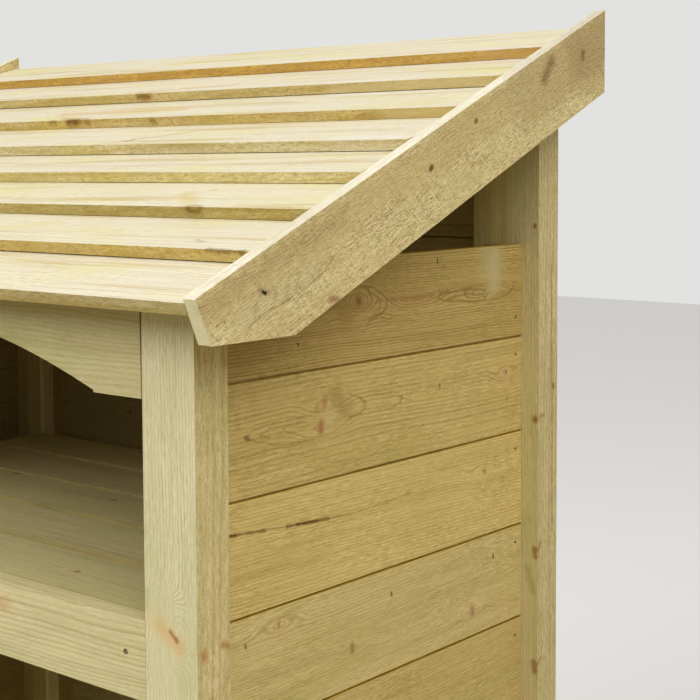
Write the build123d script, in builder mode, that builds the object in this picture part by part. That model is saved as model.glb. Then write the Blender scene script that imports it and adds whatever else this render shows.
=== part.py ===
from build123d import *
from math import asin, ceil, cos, degrees, radians, sin, tan
import os

# Log store: four posts, boarded sides and back, a raised floor and one kindling shelf
# under a lean-to roof of lapped slats. Millimetres, +Z up, front towards -Y.
# The origin is on the ground under the middle of the roof.

# Overall
store_width = 894.0
store_depth = 548.0
store_height = 1200.0

# Posts, planed rectangular section with the wide face to the front
post_width = 62.0
post_depth = 38.0
post_arris = 2.0

# Boards of the sides and the back
board_width = 100.0
board_gap = 2.0
board_thick = 12.0
side_clearance = 39.5
side_inset = 21.0
side_corner_cut = 3.0
back_inset = 4.0
cleat_size = 22.0

# Roof
roof_angle = 23.4
eave_overhang = 49.0
rear_overhang = 8.0
slat_width = 95.0
slat_thick = 10.5
slat_drifts = (1.0, 0.0, -3.0, -8.0, 8.0, -2.0, 4.0)
top_slat_setback = 5.0
eave_lift = 8.0
lap_clearance = 0.4
slat_end_gap = 1.0
roof_below_barge = 23.5
rafter_width = 38.0
rafter_depth = 28.0
rafter_setback = 2.0
under_roof_clearance = 0.3

# Barge boards
barge_thick = 14.0
barge_width = 79.0
barge_nose = 37.5

# Arched fascia under the eave
fascia_thick = 15.0
fascia_height = 93.0
fascia_end_gap = 0.8
fascia_end_flat = 61.5
fascia_notch = 2.0
arch_rise = 57.0

# Shelf and floor, built alike
rail_height = 70.0
rail_thick = 18.0
rail_arris = 3.0
kindling_opening = 187.0
floor_top = 100.0
bearer_size = 38.0
back_rail_thick = 20.0
deck_slat_width = 90.0
deck_slat_thick = 12.0
deck_slat_count = 5
deck_clearance = 1.0

# Places worked out from the sizes above
slope = radians(roof_angle)
roof_depth = eave_overhang + store_depth + rear_overhang
roof_front = -roof_depth / 2
roof_rear = roof_depth / 2
posts_front = roof_front + eave_overhang
posts_back = posts_front + store_depth
rear_posts_front = posts_back - post_depth
half_width = store_width / 2
post_inside = half_width - post_width
barge_inside = half_width + rafter_width
barge_front_top = store_height - roof_depth * tan(slope)
side_board_inside = half_width - side_inset - board_thick
back_board_inside = posts_back - back_inset - board_thick
back_cleat_front = back_board_inside - cleat_size
board_pitch = board_width + board_gap
eave_y = roof_front + roof_below_barge * sin(slope)
eave_z = barge_front_top - roof_below_barge * cos(slope)
roof_plane = Plane(
    origin=(0, eave_y, eave_z),
    x_dir=(1, 0, 0),
    z_dir=(0, -sin(slope), cos(slope)),
)
under_roof = roof_plane.offset(-under_roof_clearance)


def roof_point(along, above):
    """A point of the side view: along the slope from the eave, and square above the rafters."""
    y = eave_y + along * cos(slope) - above * sin(slope)
    z = eave_z + along * sin(slope) + above * cos(slope)
    return y, z


def roof_height(y, above):
    """The height, at y, of the line that runs parallel to the rafters' top and square above it."""
    return eave_z + (y - eave_y) * tan(slope) + above / cos(slope)


def save(part, name):
    """Labels a finished piece and writes it."""
    part.label = name
    export_step(part, f"parts/{name}.step")


os.makedirs("parts", exist_ok=True)
sides = {"left": -1, "right": 1}

# Posts, cut to the roof's slope at the top
for side, sign in sides.items():
    for place, face_y in {"front": posts_front, "rear": rear_posts_front}.items():
        with BuildPart() as post:
            with BuildSketch(Plane.XY):
                with Locations((sign * (half_width - post_width / 2), face_y + post_depth / 2)):
                    RectangleRounded(post_width, post_depth, post_arris)
            extrude(amount=store_height)
            split(bisect_by=under_roof, keep=Keep.BOTTOM)
        save(post.part, f"post_{place}_{side}")

# Side boards between the posts, with their ends against the posts' faces. The top one is trimmed
# in line with the roof's underside at the front post, which cuts its front corner.
side_front = posts_front + post_depth
side_run = rear_posts_front - side_front
side_middle = side_front + side_run / 2
side_top = roof_height(side_front, 0) + side_corner_cut
side_board_count = ceil((side_top - side_clearance) / board_pitch)
side_full_top = side_clearance + side_board_count * board_pitch - board_gap
side_board_middle = (side_board_inside + half_width - side_inset) / 2
for side, sign in sides.items():
    with BuildPart() as side_boards:
        with BuildSketch(Plane.YZ.offset(sign * side_board_middle)):
            with Locations((side_middle, (side_clearance + side_full_top) / 2)):
                with GridLocations(0, board_pitch, 1, side_board_count):
                    Rectangle(side_run, board_width)
        extrude(amount=board_thick / 2, both=True)
        split(bisect_by=Plane.XY.offset(side_top), keep=Keep.BOTTOM)
        split(bisect_by=under_roof, keep=Keep.BOTTOM)
    save(side_boards.part, f"side_boards_{side}")

# Upright cleats that the side boards are nailed to, one against each post
for side, sign in sides.items():
    cleat_x = sign * (side_board_inside - cleat_size / 2)
    front_y = side_front + cleat_size / 2
    rear_y = rear_posts_front - cleat_size / 2
    for place, cleat_y in {"front": front_y, "rear": rear_y}.items():
        with BuildPart() as side_cleat:
            with BuildSketch(Plane.XY.offset(side_clearance)):
                with Locations((cleat_x, cleat_y)):
                    Rectangle(cleat_size, cleat_size)
            extrude(amount=side_top - side_clearance)
            split(bisect_by=under_roof, keep=Keep.BOTTOM)
        save(side_cleat.part, f"cleat_{place}_{side}")

# Back boards between the rear posts, as many as fit under the roof
back_run = roof_height(back_board_inside + board_thick, 0) - side_clearance
back_board_count = round(back_run / board_pitch)
back_full_top = side_clearance + back_board_count * board_pitch - board_gap
with BuildPart() as back_boards:
    with BuildSketch(Plane.XZ.offset(-back_board_inside)):
        with Locations((0, (side_clearance + back_full_top) / 2)):
            with GridLocations(0, board_pitch, 1, back_board_count):
                Rectangle(2 * post_inside, board_width)
    extrude(amount=-board_thick)
    split(bisect_by=under_roof, keep=Keep.BOTTOM)
save(back_boards.part, "back_boards")

# Cleats on the rear posts that carry the back boards
for side, sign in sides.items():
    with BuildPart() as back_cleat:
        with BuildSketch(Plane.XY.offset(side_clearance)):
            with Locations((sign * (post_inside - cleat_size / 2), back_board_inside - cleat_size / 2)):
                Rectangle(cleat_size, cleat_size)
        extrude(amount=store_height)
        split(bisect_by=under_roof, keep=Keep.BOTTOM)
    save(back_cleat.part, f"back_cleat_{side}")

# Rafters along the outer faces of the posts, plumb at both ends
rafter_front = posts_front + rafter_setback
for side, sign in sides.items():
    with BuildPart() as rafter:
        with BuildSketch(Plane.YZ.offset(sign * (half_width + rafter_width / 2))):
            with BuildLine():
                Polyline(
                    (rafter_front, roof_height(rafter_front, 0)),
                    (roof_rear, roof_height(roof_rear, 0)),
                    (roof_rear, roof_height(roof_rear, -rafter_depth)),
                    (rafter_front, roof_height(rafter_front, -rafter_depth)),
                    close=True,
                )
            make_face()
        extrude(amount=rafter_width / 2, both=True)
    save(rafter.part, f"rafter_{side}")

# Roof slats, numbered from the eave, each with its front edge on the slat below.
# They are laid by eye: each one's drift makes the exposed width below it a little more or less.
slat_half = barge_inside - slat_end_gap
slat_run = (roof_rear - eave_y) / cos(slope) - top_slat_setback - slat_width
slat_front = 0.0
slat_tilt = asin(eave_lift / slat_width)
slat_places = [(slat_front, slat_tilt)]
for drift in slat_drifts:
    exposure = slat_run / len(slat_drifts) + drift
    slat_front += exposure
    slat_tilt = asin((slat_thick + lap_clearance) / exposure)
    slat_places.append((slat_front, slat_tilt))

for number, (slat_front, slat_tilt) in enumerate(slat_places, start=1):
    with BuildPart() as slat:
        with BuildSketch(Plane.YZ):
            with Locations(roof_point(slat_front, slat_width * sin(slat_tilt))):
                Rectangle(
                    slat_width,
                    slat_thick,
                    rotation=roof_angle - degrees(slat_tilt),
                    align=(Align.MIN, Align.MIN),
                )
        extrude(amount=slat_half, both=True)
    save(slat.part, f"roof_slat_{number}")

# Barge boards: square front end, level cut under it, plumb rear end
nose_bottom = barge_front_top - barge_nose
for side, sign in sides.items():
    with BuildPart() as barge:
        with BuildSketch(Plane.YZ.offset(sign * (barge_inside + barge_thick / 2))):
            with BuildLine():
                Polyline(
                    (roof_front, barge_front_top),
                    (roof_rear, store_height),
                    (roof_rear, store_height - barge_width / cos(slope)),
                    (roof_front + (barge_width / cos(slope) - barge_nose) / tan(slope), nose_bottom),
                    (roof_front + barge_nose * tan(slope), nose_bottom),
                    close=True,
                )
            make_face()
        extrude(amount=barge_thick / 2, both=True)
    save(barge.part, f"barge_board_{side}")

# Fascia between the front posts: flat at each end, a small notch, then a shallow arch
fascia_half = post_inside - fascia_end_gap
arch_half = post_inside - fascia_end_flat
eave_slat_tilt = slat_places[0][1]
slat_corner_y, slat_corner_z = roof_point(0, eave_lift)
fascia_top = slat_corner_z + (posts_front - slat_corner_y) * tan(slope - eave_slat_tilt)
fascia_bottom = fascia_top - fascia_height
arch_spring = fascia_bottom + fascia_notch
with BuildPart() as fascia:
    with BuildSketch(Plane.XZ.offset(-posts_front)):
        with BuildLine():
            Polyline(
                (-arch_half, arch_spring),
                (-arch_half, fascia_bottom),
                (-fascia_half, fascia_bottom),
                (-fascia_half, fascia_top),
                (fascia_half, fascia_top),
                (fascia_half, fascia_bottom),
                (arch_half, fascia_bottom),
                (arch_half, arch_spring),
            )
            ThreePointArc(
                (arch_half, arch_spring),
                (0, arch_spring + arch_rise),
                (-arch_half, arch_spring),
            )
        make_face()
    extrude(amount=-fascia_thick)
save(fascia.part, "arched_fascia")


def build_deck(deck, top):
    """The front rail, bearers, back rail and slats of the shelf or the floor, with its top at top."""
    slat_under = top - deck_slat_thick
    rail_back = posts_front + rail_thick
    back_rail_front = back_board_inside - back_rail_thick

    with BuildPart() as front_rail:
        with BuildSketch(Plane.YZ.offset(-post_inside)):
            with Locations((posts_front + rail_thick / 2, top - rail_height / 2)):
                RectangleRounded(rail_thick, rail_height, rail_arris)
        extrude(amount=2 * post_inside)
    save(front_rail.part, f"{deck}_front_rail")

    with BuildPart() as back_rail:
        with BuildSketch(Plane.XY.offset(slat_under - bearer_size)):
            with Locations((0, back_board_inside - back_rail_thick / 2)):
                Rectangle(2 * (post_inside - cleat_size), back_rail_thick)
        extrude(amount=bearer_size)
    save(back_rail.part, f"{deck}_back_rail")

    with BuildPart() as middle_bearer:
        with BuildSketch(Plane.XY.offset(slat_under - bearer_size)):
            with Locations((0, (rail_back + back_rail_front) / 2)):
                Rectangle(bearer_size, back_rail_front - rail_back)
        extrude(amount=bearer_size)
    save(middle_bearer.part, f"{deck}_bearer_middle")

    for side, sign in sides.items():
        with BuildPart() as side_bearer:
            with BuildSketch(Plane.XY.offset(slat_under - bearer_size)):
                with Locations((sign * (side_board_inside - bearer_size / 2), side_middle)):
                    Rectangle(bearer_size, side_run - 2 * cleat_size)
            extrude(amount=bearer_size)
        save(side_bearer.part, f"{deck}_bearer_{side}")

    # The first and the last slat are short, to pass between the posts
    first_slat = rail_back + deck_clearance + deck_slat_width / 2
    last_slat = back_cleat_front - deck_clearance - deck_slat_width / 2
    slat_pitch = (last_slat - first_slat) / (deck_slat_count - 1)
    with BuildPart() as deck_slats:
        with BuildSketch(Plane.XY.offset(slat_under)):
            for number in range(deck_slat_count):
                outer = number in (0, deck_slat_count - 1)
                half = (post_inside if outer else side_board_inside) - deck_clearance
                with Locations((0, first_slat + number * slat_pitch)):
                    Rectangle(2 * half, deck_slat_width)
        extrude(amount=deck_slat_thick)
    save(deck_slats.part, f"{deck}_slats")


build_deck("shelf", fascia_bottom - kindling_opening)
build_deck("floor", floor_top)
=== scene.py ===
"""Dresses the log store: every board, post and slat as a piece of treated softwood of its own."""

import logging
from dataclasses import dataclass, field, replace
from enum import Enum
from itertools import count
from math import asin, atan, ceil, cos, hypot, pi, radians, sin, sqrt

import bmesh
import bpy
from bmesh.types import BMEdge, BMesh, BMFace, BMVert
from bpy.types import Material, Node, NodeSocket, NodeTree, Object
from mathutils import Matrix, Vector, noise


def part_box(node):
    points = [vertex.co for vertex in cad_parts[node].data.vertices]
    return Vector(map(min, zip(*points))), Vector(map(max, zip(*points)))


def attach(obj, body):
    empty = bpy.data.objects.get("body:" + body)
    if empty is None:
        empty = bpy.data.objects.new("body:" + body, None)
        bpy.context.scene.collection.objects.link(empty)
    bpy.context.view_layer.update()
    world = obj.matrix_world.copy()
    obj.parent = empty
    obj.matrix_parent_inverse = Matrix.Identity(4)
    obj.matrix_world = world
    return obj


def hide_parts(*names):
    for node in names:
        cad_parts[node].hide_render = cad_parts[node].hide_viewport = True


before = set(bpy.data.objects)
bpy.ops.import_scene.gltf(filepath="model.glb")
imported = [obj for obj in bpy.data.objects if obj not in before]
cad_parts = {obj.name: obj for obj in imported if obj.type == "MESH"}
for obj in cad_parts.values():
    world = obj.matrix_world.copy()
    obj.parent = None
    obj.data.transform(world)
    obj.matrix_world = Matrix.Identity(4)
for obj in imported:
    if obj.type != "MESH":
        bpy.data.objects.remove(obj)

MM = 0.001
ROOF_ANGLE = radians(23.4)
BOARD_PITCH = 102 * MM
BOARD_WIDTH = 100 * MM
UP = Vector((0, 0, 1))
RIGHT = Vector((1, 0, 0))
FRONT = Vector((0, -1, 0))
UP_SLOPE = Vector((0, cos(ROOF_ANGLE), sin(ROOF_ANGLE)))
OFF_SLOPE = Vector((0, -sin(ROOF_ANGLE), cos(ROOF_ANGLE)))
SIDES = {"left": -1, "right": 1}
# How much of a face's normal lies along an axis where the face is square to it, or is a cut end
FLAT = 0.985
CUT_END = 0.7
# How near counts as touching, in metres
TOUCH = 1e-6
# The corners of a nail head and of its hole
ROUND_SIDES = 12

log = logging.getLogger("log_store")

# A colour in the shader's linear numbers, a place or way in space, a place on a face, and an input's value
Colour = tuple[float, float, float]
Place = tuple[float, float, float]
Spot = tuple[float, float]
Feed = NodeSocket | float | tuple


def shade(*channels: int) -> Colour:
    """Turns a screen colour's red, green and blue, 0 to 255, into the shader's linear ones."""
    shares = [channel / 255 for channel in channels]
    return tuple(s / 12.92 if s <= 0.04045 else ((s + 0.055) / 1.055) ** 2.4 for s in shares)


def metres(place: Place) -> Place:
    """Turns millimetres into metres."""
    return tuple(part * MM for part in place)


# Shader wiring


class Wiring:
    """Adds nodes to one node tree and joins them."""

    def __init__(self, tree: NodeTree) -> None:
        """Keeps the tree that the nodes go into."""
        self.tree = tree

    def feed(self, node: Node, fed: dict[int | str, Feed]) -> None:
        """Feeds a node's inputs.

        Args:
            node: The node.
            fed: What each input takes, by its name or number: an output to link, or a value of its own.
        """
        for key, value in fed.items():
            socket = node.inputs[key]
            if isinstance(value, NodeSocket):
                self.tree.links.new(value, socket)
            else:
                socket.default_value = (*value, 1) if socket.type == "RGBA" else value

    def add(self, kind: str, fed: dict[int | str, Feed] | None = None, **settings: object) -> Node:
        """Adds a node.

        Args:
            kind: The node's type, without the ShaderNode at its front.
            fed: What its inputs take, by name or number.
            settings: The node's properties.

        Returns:
            The new node.
        """
        node = self.tree.nodes.new("ShaderNode" + kind)
        for name, value in settings.items():
            setattr(node, name, value)
        self.feed(node, fed or {})
        return node

    def read(self, attribute: str, out: str = "Fac") -> NodeSocket:
        """Reads one of the piece's own attributes."""
        return self.add("Attribute", attribute_name=attribute).outputs[out]

    def math(self, operation: str, *values: Feed, clamp: bool = False) -> NodeSocket:
        """Adds a Math node and returns its result."""
        return self.add("Math", dict(enumerate(values)), operation=operation, use_clamp=clamp).outputs[0]

    def plus(self, first: Feed, second: Feed) -> NodeSocket:
        """The sum of two values."""
        return self.math("ADD", first, second)

    def minus(self, first: Feed, second: Feed) -> NodeSocket:
        """The first value less the second."""
        return self.math("SUBTRACT", first, second)

    def times(self, first: Feed, second: Feed, clamp: bool = False) -> NodeSocket:
        """The product of two values."""
        return self.math("MULTIPLY", first, second, clamp=clamp)

    def line(self, value: Feed, gain: Feed, start: Feed) -> NodeSocket:
        """A value times a gain, from a start."""
        return self.math("MULTIPLY_ADD", value, gain, start)

    def about_zero(self, value: Feed, gain: Feed) -> NodeSocket:
        """A value from 0 to 1, moved to lie about zero and then scaled."""
        return self.times(self.minus(value, 0.5), gain)

    def vector(self, operation: str, *values: Feed, out: str = "Vector") -> NodeSocket:
        """Adds a Vector Math node and returns the output with that name."""
        return self.add("VectorMath", dict(enumerate(values)), operation=operation).outputs[out]

    def spread(self, place: Feed, pace: Place) -> NodeSocket:
        """Scales a place along each axis, so that a pattern on it is stretched."""
        return self.vector("MULTIPLY", place, pace)

    def size(self, place: Feed) -> NodeSocket:
        """The length of a vector."""
        return self.vector("LENGTH", place, out="Value")

    def dot(self, first: Feed, second: Feed) -> NodeSocket:
        """The dot product of two vectors."""
        return self.vector("DOT_PRODUCT", first, second, out="Value")

    def fade(self, value: Feed, low: Feed, high: Feed) -> NodeSocket:
        """A soft step from 0 at low to 1 at high; it falls instead where low is above high."""
        fed = {"Value": value, "From Min": low, "From Max": high}
        return self.add("MapRange", fed, interpolation_type="SMOOTHSTEP").outputs["Result"]

    def mix(self, share: Feed, under: Feed, over: Feed, blend: str = "MIX") -> NodeSocket:
        """Lays one colour over another."""
        node = self.add("Mix", {0: share, 6: under, 7: over}, data_type="RGBA", blend_type=blend)
        return node.outputs[2]

    def noise(self, place: Feed, scale: float, detail: float = 2.0, rough: float = 0.5) -> NodeSocket:
        """Smooth noise from 0 to 1 at a place, with a mean of one half."""
        fed = {"Vector": place, "Scale": scale, "Detail": detail, "Roughness": rough}
        return self.add("TexNoise", fed).outputs["Fac"]

    def grained(self, place: Feed, pace: Place, detail: float = 2.0, rough: float = 0.5) -> NodeSocket:
        """Smooth noise with its own pace in a metre along, across and through the stick."""
        return self.noise(self.spread(place, pace), 1.0, detail, rough)

    def effect(self, group: NodeTree, **values: Feed) -> dict[str, NodeSocket]:
        """Places a shader group, feeds its inputs, with _ for a space, and returns its outputs by name."""
        fed = {name.replace("_", " "): value for name, value in values.items()}
        return {socket.name: socket for socket in self.add("Group", fed, node_tree=group).outputs}


class Effect:
    """A shader group in the making, with named inputs and outputs."""

    def __init__(self, name: str, vectors: list[str], numbers: list[str], out: list[str]) -> None:
        """Makes an empty group.

        Args:
            name: The group's name.
            vectors: The names of its vector inputs.
            numbers: The names of its other inputs, each a single number.
            out: The names of its outputs, each a single number.
        """
        self.tree = bpy.data.node_groups.new(name, "ShaderNodeTree")
        ways = (("INPUT", "Vector", vectors), ("INPUT", "Float", numbers), ("OUTPUT", "Float", out))
        for way, kind, labels in ways:
            for label in labels:
                self.tree.interface.new_socket(label, in_out=way, socket_type="NodeSocket" + kind)
        self.wire = Wiring(self.tree)
        self.inputs = self.tree.nodes.new("NodeGroupInput")
        self.outputs = self.tree.nodes.new("NodeGroupOutput")

    def value(self, name: str) -> NodeSocket:
        """The value that comes in under a name."""
        return self.inputs.outputs[name]

    def give(self, name: str, value: Feed) -> None:
        """Sends a value out under a name."""
        self.wire.feed(self.outputs, {name: value})


def growth_rings() -> NodeTree:
    """Builds the figure of annual rings round a pith that runs along the grain.

    Returns:
        A group whose Late output is the dark latewood, from 0 to 1.
    """
    effect = Effect("growth rings", ["Grain"], ["Ring Width", "Wander", "Bulge"], ["Late"])
    wire, grain = effect.wire, effect.value("Grain")
    sway_pace, shake_pace, faint_pace = (2.6, 9, 9), (18, 110, 110), (9, 60, 60)
    shake_size = 1.6 * MM
    late_from, late_full, falls_from, year_range = 0.3, 0.92, 0.93, 0.3
    faint_gain, faint_least, weaker = 1.3, 0.35, -0.65
    radius = wire.size(wire.spread(grain, (0, 1, 1)))
    sway = wire.about_zero(wire.grained(grain, sway_pace, 2.0, 0.45), effect.value("Wander"))
    shake = wire.about_zero(wire.grained(grain, shake_pace, 1.0), shake_size)
    pushed = wire.plus(wire.plus(radius, sway), effect.value("Bulge"))
    age = wire.math("DIVIDE", wire.plus(pushed, shake), effect.value("Ring Width"))
    season = wire.math("FRACT", age)
    year = wire.add("TexWhiteNoise", {"W": wire.math("FLOOR", age)}, noise_dimensions="1D")
    luck = year.outputs["Value"]
    rise = wire.fade(season, wire.line(luck, year_range, late_from), late_full)
    fall = wire.fade(season, 1.0, falls_from)
    comes = wire.line(wire.grained(grain, faint_pace), faint_gain, faint_least)
    strength = wire.times(wire.line(luck, weaker, 1.0), comes)
    effect.give("Late", wire.times(wire.times(rise, fall), strength, clamp=True))
    return effect.tree


def wood_fibres() -> NodeTree:
    """Builds the fine streaks along the grain.

    Returns:
        A group with broad and fine streaks, each about zero, and torn specks and long bands, from 0 to 1.
    """
    effect = Effect("wood fibres", ["Grain"], [], ["Broad", "Fine", "Specks", "Bands"])
    wire, grain = effect.wire, effect.value("Grain")
    sway_pace, broad_pace, fine_pace, patch_pace = (14, 34, 34), (9, 210, 210), (85, 680, 680), (13, 24, 24)
    speck_pace, torn_pace, band_pace = (260, 620, 620), (11, 30, 30), (3.2, 75, 75)
    sway_size, broad_size, patch_gain, fine_least = 6 * MM, 2.0, 1.8, 1.3
    sway = wire.about_zero(wire.grained(grain, sway_pace, 1.0), sway_size)
    flow = wire.vector("ADD", grain, wire.add("CombineXYZ", {"Y": sway, "Z": sway}).outputs[0])
    effect.give("Broad", wire.about_zero(wire.grained(flow, broad_pace, 3.0, 0.65), broad_size))
    patch = wire.fade(wire.grained(grain, patch_pace, 1.0), 0.35, 0.65)
    fine_size = wire.line(patch, patch_gain, fine_least)
    effect.give("Fine", wire.about_zero(wire.grained(flow, fine_pace, 2.0, 0.7), fine_size))
    specks = wire.fade(wire.grained(grain, speck_pace, 2.0, 0.6), 0.56, 0.7)
    torn = wire.fade(wire.grained(grain, torn_pace), 0.5, 0.72)
    effect.give("Specks", wire.times(specks, torn))
    effect.give("Bands", wire.fade(wire.grained(grain, band_pace, 3.0, 0.6), 0.48, 0.74))
    return effect.tree


def saw_fuzz() -> NodeTree:
    """Builds the torn tufts, speckle and slanting ridges that a saw leaves.

    Returns:
        A group with the tufts and ridges, and the rough patches, from 0 to 1.
    """
    effect = Effect("saw fuzz", ["Grain"], ["Slant"], ["Ridges", "Patches"])
    wire, grain = effect.wire, effect.value("Grain")
    ridge_pace, tuft_pace = (60, 520, 300), (130, 520, 520)
    speckle_pace, patch_pace = (640, 800, 800), (16, 38, 38)
    ridge_share, tuft_share, speckle_share = 0.2, 0.52, 0.28
    fed = {"Vector": grain, "Angle": effect.value("Slant")}
    turned = wire.add("VectorRotate", fed, rotation_type="Z_AXIS").outputs["Vector"]
    ridges = wire.grained(turned, ridge_pace, 2.0, 0.6)
    tufts = wire.grained(grain, tuft_pace, 3.0, 0.7)
    speckle = wire.times(wire.grained(grain, speckle_pace, 1.0), speckle_share)
    effect.give("Ridges", wire.line(ridges, ridge_share, wire.line(tufts, tuft_share, speckle)))
    effect.give("Patches", wire.grained(grain, patch_pace, 4.0, 0.65))
    return effect.tree


def knot_eye() -> NodeTree:
    """Builds the way the rings run round a knot, as an eye drawn out along the grain.

    Returns:
        A group whose Bulge, in metres, is added to the distance from the pith.
    """
    effect = Effect("knot eye", ["Place", "Centre", "Reach", "Growth"], ["Across"], ["Bulge"])
    wire = effect.wire
    away = wire.vector("SUBTRACT", effect.value("Place"), effect.value("Centre"))
    share = wire.size(wire.vector("DIVIDE", away, effect.value("Reach")))
    climb = wire.dot(away, effect.value("Growth"))
    fall = wire.math("EXPONENT", wire.times(wire.math("POWER", share, 3.0), -1.0))
    effect.give("Bulge", wire.times(fall, wire.minus(wire.times(share, effect.value("Across")), climb)))
    return effect.tree


def wood_mark() -> NodeTree:
    """Builds a soft-edged streak between two points, for a knot, a resin line, a bruise or a patch of painted
    shade or light.

    Returns:
        A group with the mark's mask and its core, from 0 to 1.
    """
    numbers = ["Half Width", "Softness", "Tear"]
    effect = Effect("wood mark", ["Place", "Start", "Finish"], numbers, ["Mask", "Core"])
    wire, start, soft = effect.wire, effect.value("Start"), effect.value("Softness")
    run = wire.vector("SUBTRACT", effect.value("Finish"), start)
    gone = wire.vector("SUBTRACT", effect.value("Place"), start)
    never_zero, core_edge, core_full = 1e-9, 0.75, 0.1
    share = wire.math("DIVIDE", wire.dot(gone, run), wire.plus(wire.dot(run, run), never_zero), clamp=True)
    nearest = wire.add("VectorMath", {0: run, "Scale": share}, operation="SCALE").outputs[0]
    distance = wire.size(wire.vector("SUBTRACT", gone, nearest))
    size = wire.math("DIVIDE", wire.plus(distance, effect.value("Tear")), effect.value("Half Width"))
    effect.give("Mask", wire.fade(size, wire.plus(1.0, soft), wire.minus(1.0, soft)))
    effect.give("Core", wire.fade(size, core_edge, core_full))
    return effect.tree


def scattered_knots(knot: NodeTree) -> NodeTree:
    """Builds small knots strewn along the boards, with the push that each gives the rings.

    Args:
        knot: The group for the rings round a knot.

    Returns:
        A group with the knots' mask and the rings' bulge in metres.
    """
    effect = Effect("scattered knots", ["Grain"], ["Share"], ["Mask", "Bulge"])
    wire, grain = effect.wire, effect.value("Grain")
    cell_long, cell_wide = 210 * MM, 85 * MM
    smallest, size_range, ragged_by, ragged_pace = 2.5 * MM, 4.5 * MM, 3 * MM, 320.0
    eye_reach, strewn_by, long_share = (42 * MM, 12 * MM, 1), 0.8, 0.8
    rim, full = 1.25, 0.8
    flat = wire.spread(grain, (1 / cell_long, 1 / cell_wide, 0))
    cells = wire.add("TexVoronoi", {"Vector": flat, "Scale": 1.0, "Randomness": strewn_by}).outputs
    away = wire.spread(wire.vector("SUBTRACT", flat, cells["Position"]), (cell_long, cell_wide, 0))
    luck = wire.add("SeparateColor", {0: cells["Color"]}).outputs
    here = wire.math("LESS_THAN", luck["Red"], effect.value("Share"))
    distance = wire.size(wire.spread(away, (long_share, 1, 0)))
    ragged = wire.line(wire.noise(grain, ragged_pace, 2.0), ragged_by, distance)
    size = wire.line(luck["Green"], size_range, smallest)
    ratio = wire.math("DIVIDE", wire.minus(ragged, ragged_by / 2), size)
    effect.give("Mask", wire.times(wire.fade(ratio, rim, full), here))
    side = wire.math("SIGN", wire.add("SeparateXYZ", {0: grain}).outputs["Y"])
    growth = wire.add("CombineXYZ", {"Y": side}).outputs[0]
    eye = wire.effect(knot, Place=away, Centre=(0, 0, 0), Reach=eye_reach, Growth=growth, Across=eye_reach[1])
    effect.give("Bulge", wire.times(eye["Bulge"], here))
    return effect.tree


@dataclass(frozen=True)
class Effects:
    """The shader groups that the finishes share."""

    rings: NodeTree
    fibres: NodeTree
    fuzz: NodeTree
    eye: NodeTree
    mark: NodeTree
    scattered: NodeTree

    @classmethod
    def build(cls) -> "Effects":
        """Builds each group once."""
        eye = knot_eye()
        return cls(growth_rings(), wood_fibres(), saw_fuzz(), eye, wood_mark(), scattered_knots(eye))


def new_material(name: str) -> tuple[Material, Wiring, Node]:
    """Makes a material.

    Args:
        name: Its name.

    Returns:
        The material, its wiring and its Principled BSDF.
    """
    made = bpy.data.materials.new(name)
    made.use_nodes = True
    return made, Wiring(made.node_tree), made.node_tree.nodes["Principled BSDF"]


@dataclass(frozen=True)
class Mark:
    """A knot, resin streak, bruise or patch of colour on the store, in millimetres; a few paint shade or
    light instead.

    The mark runs from start to finish. Its edge is as soft as soft says and wanders as far as ragged, and
    core is how much its middle darkens. Where a knot bends the rings, reach is how far that is felt along
    each axis, and growth is the way from the pith to the bark.
    """

    start: Place
    finish: Place
    half_width: float
    colour: Colour
    strength: float = 0.8
    soft: float = 0.35
    ragged: float = 2.0
    core: float = 0.3
    reach: Place | None = None
    growth: Place = (0, 0, 1)

    def bend(self, wire: Wiring, eye: NodeTree, place: NodeSocket) -> NodeSocket:
        """Bends the rings round the knot.

        Args:
            wire: The material's wiring.
            eye: The group for the rings round a knot.
            place: The surface's place.

        Returns:
            The rings' bulge in metres.
        """
        centre = tuple((a + b) / 2 * MM for a, b in zip(self.start, self.finish))
        bent = wire.effect(
            eye, Place=place, Centre=centre, Reach=metres(self.reach), Growth=self.growth,
            Across=min(self.reach) * MM,
        )
        return bent["Bulge"]

    def draw(
        self, wire: Wiring, mark: NodeTree, place: NodeSocket, tear: NodeSocket
    ) -> dict[str, NodeSocket]:
        """Draws the mark.

        Args:
            wire: The material's wiring.
            mark: The group for a mark.
            place: The surface's place.
            tear: How the mark's edge wanders, about zero.

        Returns:
            Its mask and its core.
        """
        return wire.effect(
            mark, Place=place, Start=metres(self.start), Finish=metres(self.finish), Softness=self.soft,
            Half_Width=self.half_width * MM, Tear=wire.times(tear, self.ragged * MM),
        )


@dataclass(frozen=True)
class SteelFinish:
    """The dull zinc of a nail or screw head."""

    name: str = "zinc_plated_steel"
    colour: Colour = shade(118, 116, 100)
    dirt: Colour = shade(70, 62, 40)

    def material(self) -> Material:
        """Builds the material, with its scuffs and specks of dirt.

        Returns:
            The new material.
        """
        made, wire, shader = new_material(self.name)
        speck_pace, clean_rough, dirt_rough, clean_metal, dirt_metal = 900.0, 0.4, 0.35, 0.9, -0.8
        dirt = wire.fade(wire.noise(wire.add("TexCoord").outputs["Object"], speck_pace, 4.0, 0.6), 0.45, 0.7)
        rough, metal = wire.line(dirt, dirt_rough, clean_rough), wire.line(dirt, dirt_metal, clean_metal)
        colour = wire.mix(dirt, self.colour, self.dirt)
        wire.feed(shader, {"Base Color": colour, "Roughness": rough, "Metallic": metal})
        return made


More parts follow.
